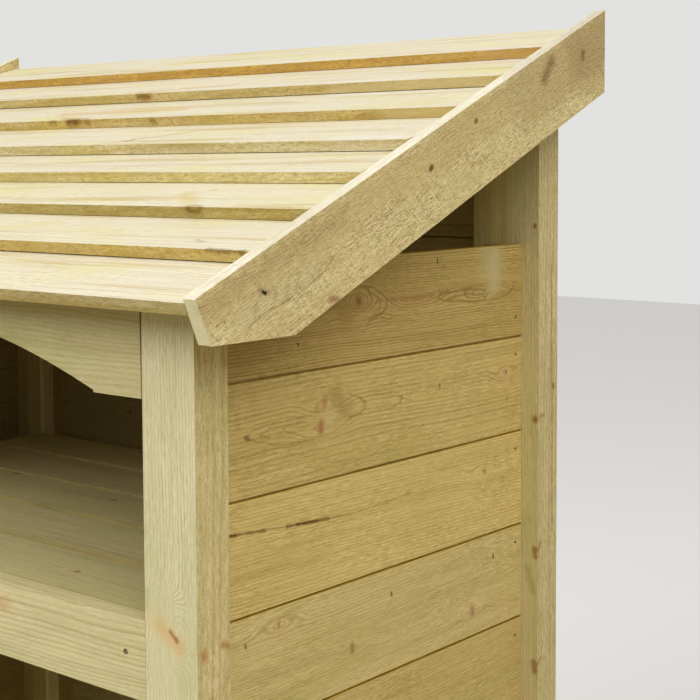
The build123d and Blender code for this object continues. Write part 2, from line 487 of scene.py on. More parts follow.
@dataclass(frozen=True)
class TimberFinish:
    """Treated softwood, planed or sawn. Lengths are in millimetres."""

    name: str
    early: Colour
    late: Colour
    knot: Colour = shade(150, 104, 62)
    green: Colour = shade(168, 172, 104)
    end_grain: Colour = shade(170, 155, 104)
    ring_depth: float = 0.6
    wander: float = 26.0
    fibre: float = 0.10
    bands: float = 0.3
    speck: Colour = shade(236, 226, 184)
    specks: float = 0.3
    mottle: float = 0.35
    fuzz: float = 0.0
    fuzz_slant: float = 62.0
    knot_share: float = 0.3
    relief: float = 1.0
    roughness: float = 0.62
    marks: tuple[Mark, ...] = ()

    def material(self, effects: Effects) -> Material:
        """Builds the material.

        Args:
            effects: The shared shader groups.

        Returns:
            The new material.
        """
        coat = TimberCoat(self, effects)
        coat.draw_rings()
        coat.draw_streaks()
        coat.draw_marks()
        return coat.close()


class TimberCoat:
    """Lays a timber's colours one over the other, in one material."""

    def __init__(self, finish: TimberFinish, effects: Effects) -> None:
        """Starts the material with the early wood.

        Args:
            finish: The finish to make.
            effects: The shared shader groups.
        """
        self.finish, self.effects = finish, effects
        self.made, self.wire, self.shader = new_material(finish.name)
        self.grain = self.wire.read("grain", "Vector")
        self.cut_end = self.wire.read("end_grain")
        self.place = self.wire.add("TexCoord").outputs["Object"]
        self.strewn = self.wire.effect(effects.scattered, Grain=self.grain, Share=finish.knot_share)
        self.fibres = self.wire.effect(effects.fibres, Grain=self.grain)
        self.height = self.wire.times(self.fibres["Fine"], 0.6)
        self.colour: Feed = finish.early

    def lay(self, mask: NodeSocket, share: float, over: Colour) -> None:
        """Lays a colour over the others, as far as a mask and a share let it show."""
        self.colour = self.wire.mix(self.wire.times(mask, share), self.colour, over)

    def multiply(self, by: NodeSocket) -> None:
        """Multiplies the colour by another one."""
        self.colour = self.wire.mix(1.0, self.colour, by, "MULTIPLY")

    def draw_rings(self) -> None:
        """Draws the annual rings, which bend round the knots, then the green clouds and the long bands."""
        finish, wire = self.finish, self.wire
        cloud_pace = (7, 26, 26)
        bulge = self.strewn["Bulge"]
        for mark in finish.marks:
            if mark.reach:
                bulge = wire.plus(bulge, mark.bend(wire, self.effects.eye, self.place))
        fed = {"Ring_Width": wire.times(wire.read("ring"), MM), "Wander": finish.wander * MM, "Bulge": bulge}
        rings = wire.effect(self.effects.rings, Grain=self.grain, **fed)
        self.lay(rings["Late"], finish.ring_depth, finish.late)
        clouds = wire.fade(wire.grained(self.grain, cloud_pace, 3.0, 0.55), 0.45, 0.75)
        self.lay(clouds, finish.mottle, finish.green)
        self.lay(self.fibres["Bands"], finish.bands, finish.late)

    def draw_streaks(self) -> None:
        """Lightens and darkens the wood along its fibres, and where a saw has torn it."""
        finish, wire = self.finish, self.wire
        broad_share, fine_share, by_channel = 0.6, 1.5, (1.0, 1.15, 1.8)
        slight = wire.times(self.fibres["Broad"], finish.fibre * broad_share)
        change = wire.line(self.fibres["Fine"], finish.fibre * fine_share, slight)
        if finish.fuzz:
            change = wire.plus(change, self.draw_saw_marks())
        channels = {number: wire.line(change, share, 1.0) for number, share in enumerate(by_channel)}
        self.multiply(wire.add("CombineColor", channels).outputs[0])
        self.lay(self.fibres["Specks"], finish.specks, finish.speck)

    def draw_saw_marks(self) -> NodeSocket:
        """Darkens and raises the fibres that a saw has torn.

        Returns:
            How much lighter the torn wood gets, about zero.
        """
        finish, wire = self.finish, self.wire
        saw = wire.effect(self.effects.fuzz, Grain=self.grain, Slant=radians(finish.fuzz_slant))
        sawn = wire.read("sawn")
        patch_gain, patch_least, darkens, raises, patch_share = 0.6, 0.65, -2.2, 3.0, 0.3
        patchy = wire.line(wire.fade(saw["Patches"], 0.35, 0.65), patch_gain, patch_least)
        rough = wire.times(wire.times(wire.about_zero(saw["Ridges"], finish.fuzz), patchy), sawn)
        self.colour = wire.mix(wire.times(rough, darkens, clamp=True), self.colour, finish.late)
        self.height = wire.line(rough, raises, self.height)
        patches = wire.about_zero(saw["Patches"], finish.fuzz * patch_share)
        return wire.plus(rough, wire.times(patches, sawn))

    def draw_marks(self) -> None:
        """Lays the strewn knots, and then the marks that have places of their own."""
        wire = self.wire
        coarse_pace, fine_pace, fine_share, core_dark, strewn_share = 110.0, 420.0, 0.6, 0.6, 0.75
        coarse = wire.minus(wire.noise(self.place, coarse_pace, 2.0), 0.5)
        fine = wire.minus(wire.noise(self.place, fine_pace, 3.0, 0.6), 0.5)
        tear = wire.line(fine, fine_share, coarse)
        self.lay(self.strewn["Mask"], strewn_share, self.finish.knot)
        for mark in self.finish.marks:
            spot = mark.draw(wire, self.effects.mark, self.place, tear)
            self.lay(spot["Mask"], mark.strength, mark.colour)
            if mark.core:
                self.lay(spot["Core"], mark.core, tuple(channel * core_dark for channel in mark.colour))

    def close(self) -> Material:
        """Dulls the cut ends, tints each side of the stick, and sets the gloss and the relief.

        Returns:
            The finished material.
        """
        wire, finish = self.wire, self.finish
        gloss, relief = 0.16, 0.25 * MM * finish.relief
        end_share, streak_rough, end_rough = 0.7, 0.08, 0.15
        self.lay(self.cut_end, end_share, finish.end_grain)
        self.multiply(wire.read("tint", "Color"))
        smooth = wire.line(self.fibres["Broad"], streak_rough, finish.roughness)
        rough = wire.plus(smooth, wire.times(self.cut_end, end_rough))
        bump = wire.add("Bump", {"Strength": 1.0, "Distance": relief, "Height": self.height})
        wire.feed(self.shader, {"Base Color": self.colour, "Roughness": rough, "Specular IOR Level": gloss})
        wire.feed(self.shader, {"Normal": bump.outputs["Normal"]})
        return self.made


# Sticks of timber


class Side(Enum):
    """The kinds of surface on a stick of timber."""

    FACE = "face"
    BACK = "back"
    EDGE = "edge"
    END = "end"
    ARRIS = "arris"


@dataclass(frozen=True)
class Tints:
    """What each surface of a stick multiplies its colour by."""

    face: Colour = (1, 1, 1)
    back: Colour = (0.92, 0.9, 0.84)
    edge: Colour = (0.96, 0.94, 0.88)
    end: Colour = (0.95, 0.93, 0.88)
    arris: Colour = (1.05, 1.04, 1.02)

    def of(self, side: Side) -> Colour:
        """The tint of one kind of surface."""
        return getattr(self, side.value)


@dataclass(frozen=True)
class Figure:
    """How a stick was cut from the log, in millimetres: the pith's place beside it, and its lean."""

    across: float = 0.0
    depth: float = 30.0
    lean: float = 0.02
    seed: int = 0
    ring: float = 3.2

    @classmethod
    def drawn(cls, seed: int, spread: float = 60.0) -> "Figure":
        """Picks a figure by its seed.

        Args:
            seed: The stick's own number.
            spread: How far the pith lies from the stick's middle.

        Returns:
            The figure.
        """
        least_deep, deeper, lean, thinnest_ring, thicker = 16, 30, 0.05, 2.4, 2
        luck = noise.cell_vector(Vector((seed * 3.7 + 0.5, 1.5, 0.5)))
        across = spread * (1 if luck.x > 0.5 else -1) * (0.7 + luck.y)
        depth, ring = least_deep + luck.z * deeper, thinnest_ring + luck.y * thicker
        return cls(across, depth, (luck.x - 0.5) * lean, seed, ring)


@dataclass(frozen=True)
class Hole:
    """A round sinking in a stick's face: its place from the centre, and its size, in metres."""

    along: float
    across: float
    radius: float
    depth: float


@dataclass(frozen=True)
class Check:
    """A drying crack along the edge of a stick, in metres from its centre."""

    start: float
    finish: float
    level: float
    half_width: float
    depth: float
    sway: float
    steps: int = 60

    def opening(self, share: float) -> float:
        """Tells how far the crack opens, which falls off towards its ends.

        Args:
            share: The place, as a share of the crack's length.

        Returns:
            The share of its full width, up to about 1.
        """
        pace, least = 17, 0.06
        ripple = 0.75 + 0.5 * noise.noise(Vector((share * pace, 3, 0)))
        return max(least, sqrt(max(0.0, sin(pi * share))) * ripple)

    def middle(self, share: float) -> float:
        """The level of the crack's middle at a share of its length."""
        return self.level + self.sway * noise.noise(Vector((share * 5, 0, 0.3)))


@dataclass
class Stick:
    """One straight piece of timber, in metres.

    Its own X runs along the grain, Y across its width and Z out of its face. It is divided along its
    length into stations, so that its edges can waver. The planes in cuts are (point, normal) pairs of the
    store's frame, and take off what lies on the normal's side. A saw has torn the sawn sides, and dress
    is the number of its material in the piece.
    """

    centre: Vector
    along: Vector
    out: Vector
    length: float
    width: float
    thick: float
    arris: float = 1.0 * MM
    end_arris: float = 0.4 * MM
    stations: int = 18
    waver: float = 0.3 * MM
    figure: Figure = field(default_factory=Figure)
    tints: Tints = field(default_factory=Tints)
    sawn_sides: tuple[Side, ...] = tuple(Side)
    dress: int = 0
    cuts: list[tuple[Vector, Vector]] = field(default_factory=list)
    holes: list[Hole] = field(default_factory=list)
    checks: list[Check] = field(default_factory=list)

    def frame(self) -> Matrix:
        """The stick's own axes and centre in the store's frame.

        Returns:
            The matrix that takes the stick's own places to the store's.
        """
        along, out = self.along.normalized(), self.out.normalized()
        turn = Matrix((along, out.cross(along), out)).transposed().to_4x4()
        return Matrix.Translation(self.centre) @ turn

    def own_cuts(self) -> list[tuple[Vector, Vector]]:
        """The cutting planes in the stick's own frame."""
        back = self.frame().inverted()
        return [(back @ point, back.to_3x3() @ normal) for point, normal in self.cuts]

    def blank(self) -> BMesh:
        """The stick as it is sawn, before its ends are trimmed.

        Returns:
            The stick's mesh, in its own frame.
        """
        bm = bmesh.new()
        bmesh.ops.create_cube(bm, size=1.0)
        bmesh.ops.scale(bm, vec=(self.length, self.width, self.thick), verts=bm.verts)
        return bm

    def shape(self) -> BMesh:
        """Cuts, eases and marks the stick.

        Returns:
            The finished stick in the store's frame.
        """
        bm = self.blank()
        for point, normal in self.own_cuts():
            saw_cut(bm, point, normal)
        self._ease(bm)
        for step in range(1, self.stations):
            score(bm, ((step / self.stations - 0.5) * self.length, 0, 0), RIGHT)
        for hole in self.holes:
            self._sink(bm, hole)
        for check in self.checks:
            self._crack(bm, check)
        self._waver(bm)
        self._mark(bm)
        bmesh.ops.transform(bm, matrix=self.frame(), verts=bm.verts)
        return bm

    def _ease(self, bm: BMesh) -> None:
        """Rounds the arrises, the long ones more than those at the ends.

        Args:
            bm: The stick's mesh.
        """
        lengthwise = 0.8
        long_edges, short_edges = [], []
        for edge in bm.edges:
            run = (edge.verts[1].co - edge.verts[0].co).normalized()
            if abs(run.x) < lengthwise:
                short_edges.append(edge)
            elif all(abs(vert.co.z) > self.thick / 2 - TOUCH for vert in edge.verts):
                long_edges.append(edge)
        soften(bm, short_edges, self.end_arris, 1)
        soften(bm, [edge for edge in long_edges if edge.is_valid], self.arris, 3)

    def _sink(self, bm: BMesh, hole: Hole) -> None:
        """Sinks a round hole into the face.

        Args:
            bm: The stick's mesh.
            hole: The hole.
        """
        pad_share = 1.6
        centre = Vector((hole.along, hole.across, self.thick / 2))
        pad = hole.radius * pad_share
        for way in (RIGHT, -RIGHT, -FRONT, FRONT):
            near = [face for face in bm.faces if face.normal.z > FLAT and near_box(face, centre, pad * 2)]
            score(bm, centre + way * pad, way, near)
        inside = [
            face for face in bm.faces
            if face.normal.z > FLAT and all(abs(gap) < pad for gap in (face.calc_center_median() - centre).xy)
        ]
        rim = boundary_of(inside)
        bmesh.ops.delete(bm, geom=inside, context="FACES")
        place = Matrix.Translation(centre)
        circle = bmesh.ops.create_circle(
            bm, cap_ends=False, radius=hole.radius, segments=ROUND_SIDES, matrix=place
        )
        ring = list(dict.fromkeys(edge for vert in circle["verts"] for edge in vert.link_edges))
        bmesh.ops.bridge_loops(bm, edges=[edge for edge in rim if edge.is_valid] + ring)
        walls = bmesh.ops.extrude_edge_only(bm, edges=ring)["geom"]
        low = only(BMVert, walls)
        bmesh.ops.translate(bm, verts=low, vec=(0, 0, -hole.depth))
        foot = [edge for edge in only(BMEdge, walls) if all(vert in low for vert in edge.verts)]
        bmesh.ops.contextual_create(bm, geom=foot)
        bmesh.ops.recalc_face_normals(bm, faces=bm.faces)

    def _crack(self, bm: BMesh, check: Check) -> None:
        """Opens a drying crack along the stick's far edge.

        Args:
            bm: The stick's mesh.
            check: The crack.
        """
        slack, edge_zone, middle_zone = 1e-5, check.half_width * 1.01, check.half_width * 0.3
        span = check.finish - check.start
        for step in range(1, check.steps):
            score(bm, (check.start + span * step / check.steps, 0, 0), RIGHT)
        for offset in (-check.half_width, 0, check.half_width):
            far_edge = [
                face for face in bm.faces if face.normal.y < -FLAT
                and check.start - slack <= face.calc_center_median().x <= check.finish + slack
            ]
            score(bm, (0, 0, check.level + offset), UP, far_edge)
        for vert in bm.verts:
            share = (vert.co.x - check.start) / span
            off = vert.co.z - check.level
            on_edge = abs(vert.co.y + self.width / 2) <= TOUCH
            if on_edge and 0 <= share <= 1 and abs(off) <= edge_zone:
                if abs(off) < middle_zone:
                    vert.co.y += check.depth * check.opening(share)
                vert.co.z = check.middle(share) + off * check.opening(share)

    def _waver(self, bm: BMesh) -> None:
        """Draws the edges in by a hair here and there, as wood that has dried.

        Args:
            bm: The stick's mesh.
        """
        pace, seed_step, thick_share, crosswise = 9, 7.3, 0.4, 0.3
        for vert in bm.verts:
            row = 1.7 if vert.co.y > 0 else 8.1
            spot = Vector((vert.co.x * pace + self.figure.seed * seed_step, row, 0.4))
            draw = self.waver * (0.5 + 0.5 * noise.noise(spot))
            vert.co.y *= 1 - draw / (self.width / 2)
            spot.z = 5.2 if vert.co.z > 0 else 9.9
            draw = thick_share * self.waver * (0.5 + 0.5 * noise.noise(spot))
            vert.co.z *= 1 - draw / (self.thick / 2)
        for point, normal in self.own_cuts():
            if abs(normal.x) < crosswise:
                continue
            for vert in bm.verts:
                beyond = (vert.co - point).dot(normal)
                if beyond > 0:
                    vert.co.x -= beyond / normal.x

    def _mark(self, bm: BMesh) -> None:
        """Writes where each point lay in the log, and each surface's tint.

        Args:
            bm: The stick's mesh.
        """
        grain = bm.verts.layers.float_vector.new("grain")
        tint = bm.faces.layers.float_color.new("tint")
        cut_end = bm.faces.layers.float.new("end_grain")
        ring = bm.faces.layers.float.new("ring")
        sawn = bm.faces.layers.float.new("sawn")
        start, across, depth = self.figure.seed * 1.37, self.figure.across * MM, self.figure.depth * MM
        for vert in bm.verts:
            x, y, z = vert.co
            lean = self.figure.lean * x
            vert[grain] = Vector((x + start, y - across - lean, z + depth + lean))
        bm.normal_update()
        for face in bm.faces:
            side = self._side(face)
            face[tint] = (*self.tints.of(side), 1)
            face[cut_end] = float(side is Side.END)
            face[ring] = self.figure.ring
            face[sawn] = float(side in self.sawn_sides)
            face.material_index = self.dress
            face.smooth = side is Side.ARRIS

    def _side(self, face: BMFace) -> Side:
        """Tells the kind of surface that a face belongs to.

        Args:
            face: A face of the stick, in its own frame.

        Returns:
            The kind of surface.
        """
        normal = face.normal
        if abs(normal.x) > CUT_END:
            return Side.END
        if abs(normal.z) > FLAT:
            return Side.FACE if normal.z > 0 else Side.BACK
        return Side.EDGE if abs(normal.y) > FLAT else Side.ARRIS


@dataclass
class Board(Stick):
    """A cladding board, with a tongue at its upper edge for the groove in the next one."""

    tongue: float = 3.4 * MM
    tongue_thick: float = 4.0 * MM
    groove: float = 2.0 * MM
    play: float = 0.2 * MM

    def blank(self) -> BMesh:
        """The board as it is planed, with its tongue and its groove.

        Returns:
            The board's mesh, in its own frame.
        """
        bm = super().blank()
        self._run(bm, 1, self.tongue_thick / 2, self.tongue)
        self._run(bm, -1, self.tongue_thick / 2 + self.play, self.groove)
        return bm

    def _run(self, bm: BMesh, side: int, half: float, rise: float) -> None:
        """Draws out a strip in the middle of one edge, or sinks it where the edge is the lower one.

        Args:
            bm: The board's mesh.
            side: 1 for the upper edge, -1 for the lower one.
            half: Half the strip's thickness.
            rise: How far the strip moves, upwards.
        """
        for level in (-half, half):
            score(bm, (0, 0, level), UP, [face for face in bm.faces if face.normal.y * side > FLAT])
        strip = [
            face for face in bm.faces
            if face.normal.y * side > FLAT and abs(face.calc_center_median().z) < 0.1 * MM
        ]
        raised = bmesh.ops.extrude_face_region(bm, geom=strip)
        bmesh.ops.delete(bm, geom=strip, context="FACES_ONLY")
        bmesh.ops.translate(bm, verts=only(BMVert, raised["geom"]), vec=(0, rise, 0))


@dataclass
class ArchedStick(Stick):
    """A stick whose lower edge is cut to an arch between two flat ends.

    The arch springs a notch above the flat ends, and each end leans in by top_gap at the top.
    """

    end_flat: float = 0.0
    notch: float = 0.0
    rise: float = 0.0
    top_gap: float = 0.0
    arch_steps: int = 44

    def blank(self) -> BMesh:
        """The stick's outline, with its arch spun about the arch's centre, and its thickness.

        Returns:
            The stick's mesh, in its own frame.
        """
        bm = bmesh.new()
        half, level = self.length / 2, self.width / 2
        arch_half = half - self.end_flat
        spring = -level + self.notch
        radius = (arch_half**2 + self.rise**2) / (2 * self.rise)
        centre = Vector((0, spring + self.rise - radius, 0))
        start = bm.verts.new((-arch_half, spring, 0))
        turn = 2 * asin(arch_half / radius)
        swept = bmesh.ops.spin(
            bm, geom=[start], cent=centre, axis=-UP, angle=turn, steps=self.arch_steps, use_merge=False
        )
        last = only(BMVert, swept["geom_last"])[0]
        right_side = [(arch_half, -level), (half, -level), (half - self.top_gap, level)]
        left_side = [(-x, y) for x, y in reversed(right_side)]
        for x, y in right_side + left_side:
            corner = bm.verts.new((x, y, 0))
            bm.edges.new((last, corner))
            last = corner
        bm.edges.new((last, start))
        made = bmesh.ops.contextual_create(bm, geom=bm.edges[:])
        thickened = bmesh.ops.extrude_face_region(bm, geom=made["faces"])
        bmesh.ops.translate(bm, verts=only(BMVert, thickened["geom"]), vec=UP * self.thick)
        bmesh.ops.translate(bm, verts=bm.verts, vec=-UP * self.thick / 2)
        bmesh.ops.recalc_face_normals(bm, faces=bm.faces)
        return bm


def only(kind: type, parts: list) -> list:
    """The parts of one kind, such as the vertices."""
    return [part for part in parts if isinstance(part, kind)]


def score(bm: BMesh, point: Place, normal: Vector, faces: list[BMFace] | None = None) -> None:
    """Cuts edges into faces along a plane, and keeps both sides.

    Args:
        bm: The mesh.
        point: A point of the plane.
        normal: The plane's normal.
        faces: The faces to cut, or all of them where it is left out.
    """
    parts = [*bm.verts, *bm.edges, *bm.faces]
    if faces is not None:
        parts = list(dict.fromkeys(part for face in faces for part in (face, *face.verts, *face.edges)))
    bmesh.ops.bisect_plane(bm, geom=parts, plane_co=point, plane_no=normal)


def saw_cut(bm: BMesh, point: Vector, normal: Vector) -> None:
    """Takes off what lies on the normal's side of a plane, and closes the cut.

    Args:
        bm: The mesh.
        point: A point of the plane.
        normal: The plane's normal.
    """
    parts = [*bm.verts, *bm.edges, *bm.faces]
    cut = bmesh.ops.bisect_plane(bm, geom=parts, plane_co=point, plane_no=normal, clear_outer=True, dist=1e-7)
    rim = only(BMEdge, cut["geom_cut"])
    if rim:
        bmesh.ops.contextual_create(bm, geom=rim)
    bmesh.ops.recalc_face_normals(bm, faces=bm.faces)


def soften(bm: BMesh, edges: list[BMEdge], radius: float, segments: int) -> None:
    """Rounds edges.

    Args:
        bm: The mesh.
        edges: The edges.
        radius: How far the rounding reaches from each edge.
        segments: The number of its steps.
    """
    bmesh.ops.bevel(
        bm, geom=edges, offset=radius, offset_type="OFFSET", segments=segments, profile=0.5, affect="EDGES",
        clamp_overlap=True, material=-1,
    )


def near_box(face: BMFace, centre: Vector, reach: float) -> bool:
    """Tells whether a face comes within reach of a point, along and across the stick.

    Args:
        face: The face.
        centre: The point.
        reach: How far counts as near, along each axis.

    Returns:
        Whether the face is near.
    """
    for axis in range(2):
        places = [vert.co[axis] for vert in face.verts]
        if min(places) > centre[axis] + reach or max(places) < centre[axis] - reach:
            return False
    return True


def boundary_of(faces: list[BMFace]) -> list[BMEdge]:
    """The edges that only one of these faces uses."""
    edges = dict.fromkeys(edge for face in faces for edge in face.edges)
    return [edge for edge in edges if sum(face in faces for face in edge.link_faces) == 1]


# Pieces


def piece(name: str, meshes: list[BMesh], *materials: Material) -> Object:
    """Joins finished meshes into one object that rides with the store.

    Args:
        name: The object's name.
        meshes: The meshes, in the store's frame. They are freed.
        materials: The piece's materials, in the order of the sticks' dress numbers.

    Returns:
        The new object.
    """
    whole = bpy.data.meshes.new(name)
    joined = bmesh.new()
    for bm in meshes:
        bm.to_mesh(whole)
        bm.free()
        joined.from_mesh(whole)
    joined.to_mesh(whole)
    joined.free()
    for material in materials:
        whole.materials.append(material)
    made = bpy.data.objects.new(name, whole)
    bpy.context.scene.collection.objects.link(made)
    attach(made, "root")
    log.info("%s: %d faces", name, len(whole.polygons))
    return made


def stand_in(node: str, sticks: list[Stick], slot: str, *materials: Material) -> None:
    """Makes the piece that stands for one CAD node.

    Args:
        node: The node's name.
        sticks: The timber that it is made of.
        slot: The name of a material slot; not used.
        materials: Its materials, in the order of the sticks' dress numbers.
    """
    made = piece(f"{node}_timber", [stick.shape() for stick in sticks], *materials)
    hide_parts(node)


def heads(name: str, sticks: list[Stick], material: Material) -> None:
    """Sets a domed nail or screw head at the bottom of every hole in these sticks.

    Args:
        name: The new object's name.
        sticks: The timber with the holes.
        material: The heads' material.
    """
    rise, sunk = 0.9 * MM, 0.1 * MM
    foot_share, top_share = 0.9, 0.55
    made = []
    for stick, hole in [(stick, hole) for stick in sticks for hole in stick.holes]:
        bm = bmesh.new()
        foot, top = hole.radius * foot_share, hole.radius * top_share
        bmesh.ops.create_cone(bm, cap_ends=True, segments=ROUND_SIDES, radius1=foot, radius2=top, depth=rise)
        place = Vector((hole.along, hole.across, stick.thick / 2 - hole.depth + rise / 2 - sunk))
        bmesh.ops.transform(bm, matrix=stick.frame() @ Matrix.Translation(place), verts=bm.verts)
        made.append(bm)
    piece(name, made, material)


def straight(node: str, along: Vector, out: Vector, **settings: object) -> Stick:
    """Makes a stick that fills a CAD node's box.

    Args:
        node: The node's name.
        along: The way of the grain, along one axis of the store.
        out: The way that its face looks, along another axis.
        settings: Other fields of the stick.

    Returns:
        The stick.
    """
    low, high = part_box(node)
    ways = (along, out.cross(along), out)
    sizes = [sum(abs(part) * size for part, size in zip(way, high - low)) for way in ways]
    return Stick((low + high) / 2, along, out, *sizes, **settings)


def roof_cut() -> tuple[Vector, Vector]:
    """The plane under the roof that the posts and boards are cut to."""
    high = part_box("post_rear_right")[1]
    return Vector((0, high.y, high.z)), OFF_SLOPE


def stick_tone(number: int) -> Colour:
    """Picks the tone of one stick, a little lighter or greener than the next.

    Args:
        number: The stick's own number.

    Returns:
        What its colour is multiplied by.
    """
    lighter, greener, bluer = 0.05, 0.015, 0.05
    luck = noise.cell_vector(Vector((number * 2.9 + 0.3, 7.5, 2.5)))
    level = 1 + luck.x * lighter
    return level, level * (1 + luck.y * greener), level * (1 + luck.z * bluer)


def toned(tone: Colour, shares: Colour) -> Colour:
    """A tone with a share of each of its channels."""
    return tuple(channel * share for channel, share in zip(tone, shares))


def board_tints(tone: Colour) -> Tints:
    """A cladding board's tints for this face tone, with painted shade in its joints and on its inner side."""
    # Painted shade: the dark olive edges stand for the shade in the joints between boards, the slightly
    # darker arrises widen it, and the back at 0.45 stands for the shade inside the store.
    edge, arris = toned(tone, (0.76, 0.68, 0.09)), toned(tone, (0.98, 0.94, 0.82))
    return Tints(face=tone, back=toned(tone, (0.45, 0.45, 0.45)), edge=edge, arris=arris)


def batten_tints(tone: Colour) -> Tints:
    """The tints of a batten or a deck slat whose face has this tone, with painted shade on its edges and its
    back.
    """
    # Painted shade: the darker edges stand for the shade in the gaps between slats, and the back at 0.8 for
    # the shade inside the store.
    edge, arris = toned(tone, (0.7, 0.65, 0.5)), toned(tone, (1.02, 1.0, 0.94))
    return Tints(face=tone, back=toned(tone, (0.8, 0.8, 0.8)), edge=edge, arris=arris)


@dataclass
class Workshop:
    """The materials, each built once."""

    effects: Effects
    steel: Material
    timbers: dict[str, Material] = field(default_factory=dict)

    def timber(self, finish: TimberFinish) -> Material:
        """Finds the material of a finish, or builds it at its first use.

        Args:
            finish: The finish.

        Returns:
            Its material.
        """
        if finish.name not in self.timbers:
            self.timbers[finish.name] = finish.material(self.effects)
        return self.timbers[finish.name]


# Marks on the wood

KNOT = shade(168, 118, 76)
FIGURE = shade(150, 120, 62)
DOWN = (0, 0, -1)
LEFT = (-1, 0, 0)
# Where the faces of the right side's boards and of its barge board lie along X, in millimetres
BOARD_FACE = 426
BARGE_FACE = 499


def trail(
    points: list[Spot], half_width: float, colour: Colour, strength: float, face: float = BOARD_FACE,
    soft: float = 0.9, ragged: float = 2.2,
) -> tuple[Mark, ...]:
    """Draws one line of the wood's figure on the right side, as a chain of thin marks.

    Args:
        points: Places on the board's face, as (Y, Z) in millimetres.
        half_width: Half the line's width.
        colour: The line's colour.
        strength: How much of the colour shows.
        face: Where the board's face is, along X.
        soft: How soft the line's edges are.
        ragged: How far its edges wander.

    Returns:
        The marks.
    """
    return tuple(
        Mark((face, *start), (face, *finish), half_width, colour, strength, soft, ragged, 0.0)
        for start, finish in zip(points, points[1:])
    )


def board_mark(start: Spot, finish: Spot, *look: float | Place) -> Mark:
    """A mark on the face of a board of the right side, at places as (Y, Z) in millimetres."""
    return Mark((BOARD_FACE, *start), (BOARD_FACE, *finish), *look)


def barge_mark(start: Spot, finish: Spot, *look: float | Place) -> Mark:
    """A mark on the face of the right barge board, at places as (Y, Z) in millimetres."""
    return Mark((BARGE_FACE, *start), (BARGE_FACE, *finish), *look)


def pale_tuft(y: float, z: float, half_width: float) -> Mark:
    """A pale torn tuft on the barge board, from its lower end."""
    return barge_mark((y, z), (y + 4, z + 6), half_width, shade(238, 222, 170), 0.6, 0.7, 5.0, 0.0)


def torn_line(start: Spot, finish: Spot) -> tuple[Mark, ...]:
    """A dark line between two tufts of the barge board."""
    return trail([start, finish], 2.3, shade(188, 162, 108), 0.35, BARGE_FACE, 1.0, 6.0)


POST_MARKS = (
    Mark((386, -253.5, 664), (424, -253.5, 645), 9.0, shade(228, 204, 144), 0.6, 1.0, 8.0, 0.0, (26, 24, 30),
         LEFT),
    Mark((404, -253.5, 658), (428, -253.5, 643), 5.5, shade(220, 184, 120), 0.6, 0.95, 6.0, 0.0),
    Mark((415, -253.5, 655), (423, -253.5, 649), 2.0, shade(180, 130, 74), 0.75, 0.9, 3.0, 0.5),
    Mark((447, -247, 641), (447, -246, 638), 4.0, shade(204, 152, 96), 0.65, 0.8, 3.5, 0.4),
    Mark((447, -224, 643), (447, -217, 640), 3.6, shade(200, 154, 96), 0.65, 0.8, 3.5, 0.4),
    Mark((388, -253.5, 684), (387.5, -253.5, 672), 4.0, shade(186, 186, 132), 0.5, 1.0, 6.0, 0.0),
    Mark((441.8, 256.5, 973.3), (442, 256.5, 972), 2.6, KNOT, 0.8, 0.7, 2.5, 0.5),
    Mark((443.3, 256.5, 766.5), (443.3, 256.5, 764.5), 3.6, shade(170, 130, 66), 0.8, 0.7, 3.0, 0.5),
    Mark((447, 262, 768), (447, 267, 769), 2.2, KNOT, 0.5, 0.9, 3.0),
    Mark((443, 256.5, 624), (444.5, 256.5, 616), 3.0, shade(172, 124, 72), 0.75, 0.8, 3.0),
    Mark((446, 257.5, 623), (447, 262, 631), 2.2, shade(186, 132, 84), 0.6, 0.8, 2.5),
    Mark((434, 256.5, 602), (442, 256.5, 576), 3.6, shade(156, 152, 70), 0.45, 1.0, 6.0, 0.0),
    Mark((442, 256.5, 500), (443.5, 256.5, 490), 3.2, shade(174, 122, 70), 0.75, 0.8, 3.0),
    Mark((446, 257.5, 497), (447, 263, 504), 2.2, shade(186, 132, 84), 0.6, 0.8, 2.5),
    Mark((447, 286, 800), (447, 287, 797), 2.6, KNOT, 0.7, 0.7, 2.5, 0.5),
    Mark((447, 282.5, 930), (447, 285.5, 640), 1.4, shade(186, 130, 86), 0.5, 1.0, 3.0),
    # These two golden strips on the rear right post's front face are partly the wood's own yellow streaks and
    # partly painted warm shade.
    Mark((390, 256.5, 1090), (390, 256.5, 900), 11.0, shade(208, 184, 104), 0.45, 1.0, 6.0, 0.0),
    Mark((403, 256.5, 1090), (404, 256.5, 900), 5.0, shade(196, 168, 88), 0.4, 1.0, 4.0, 0.0),
)
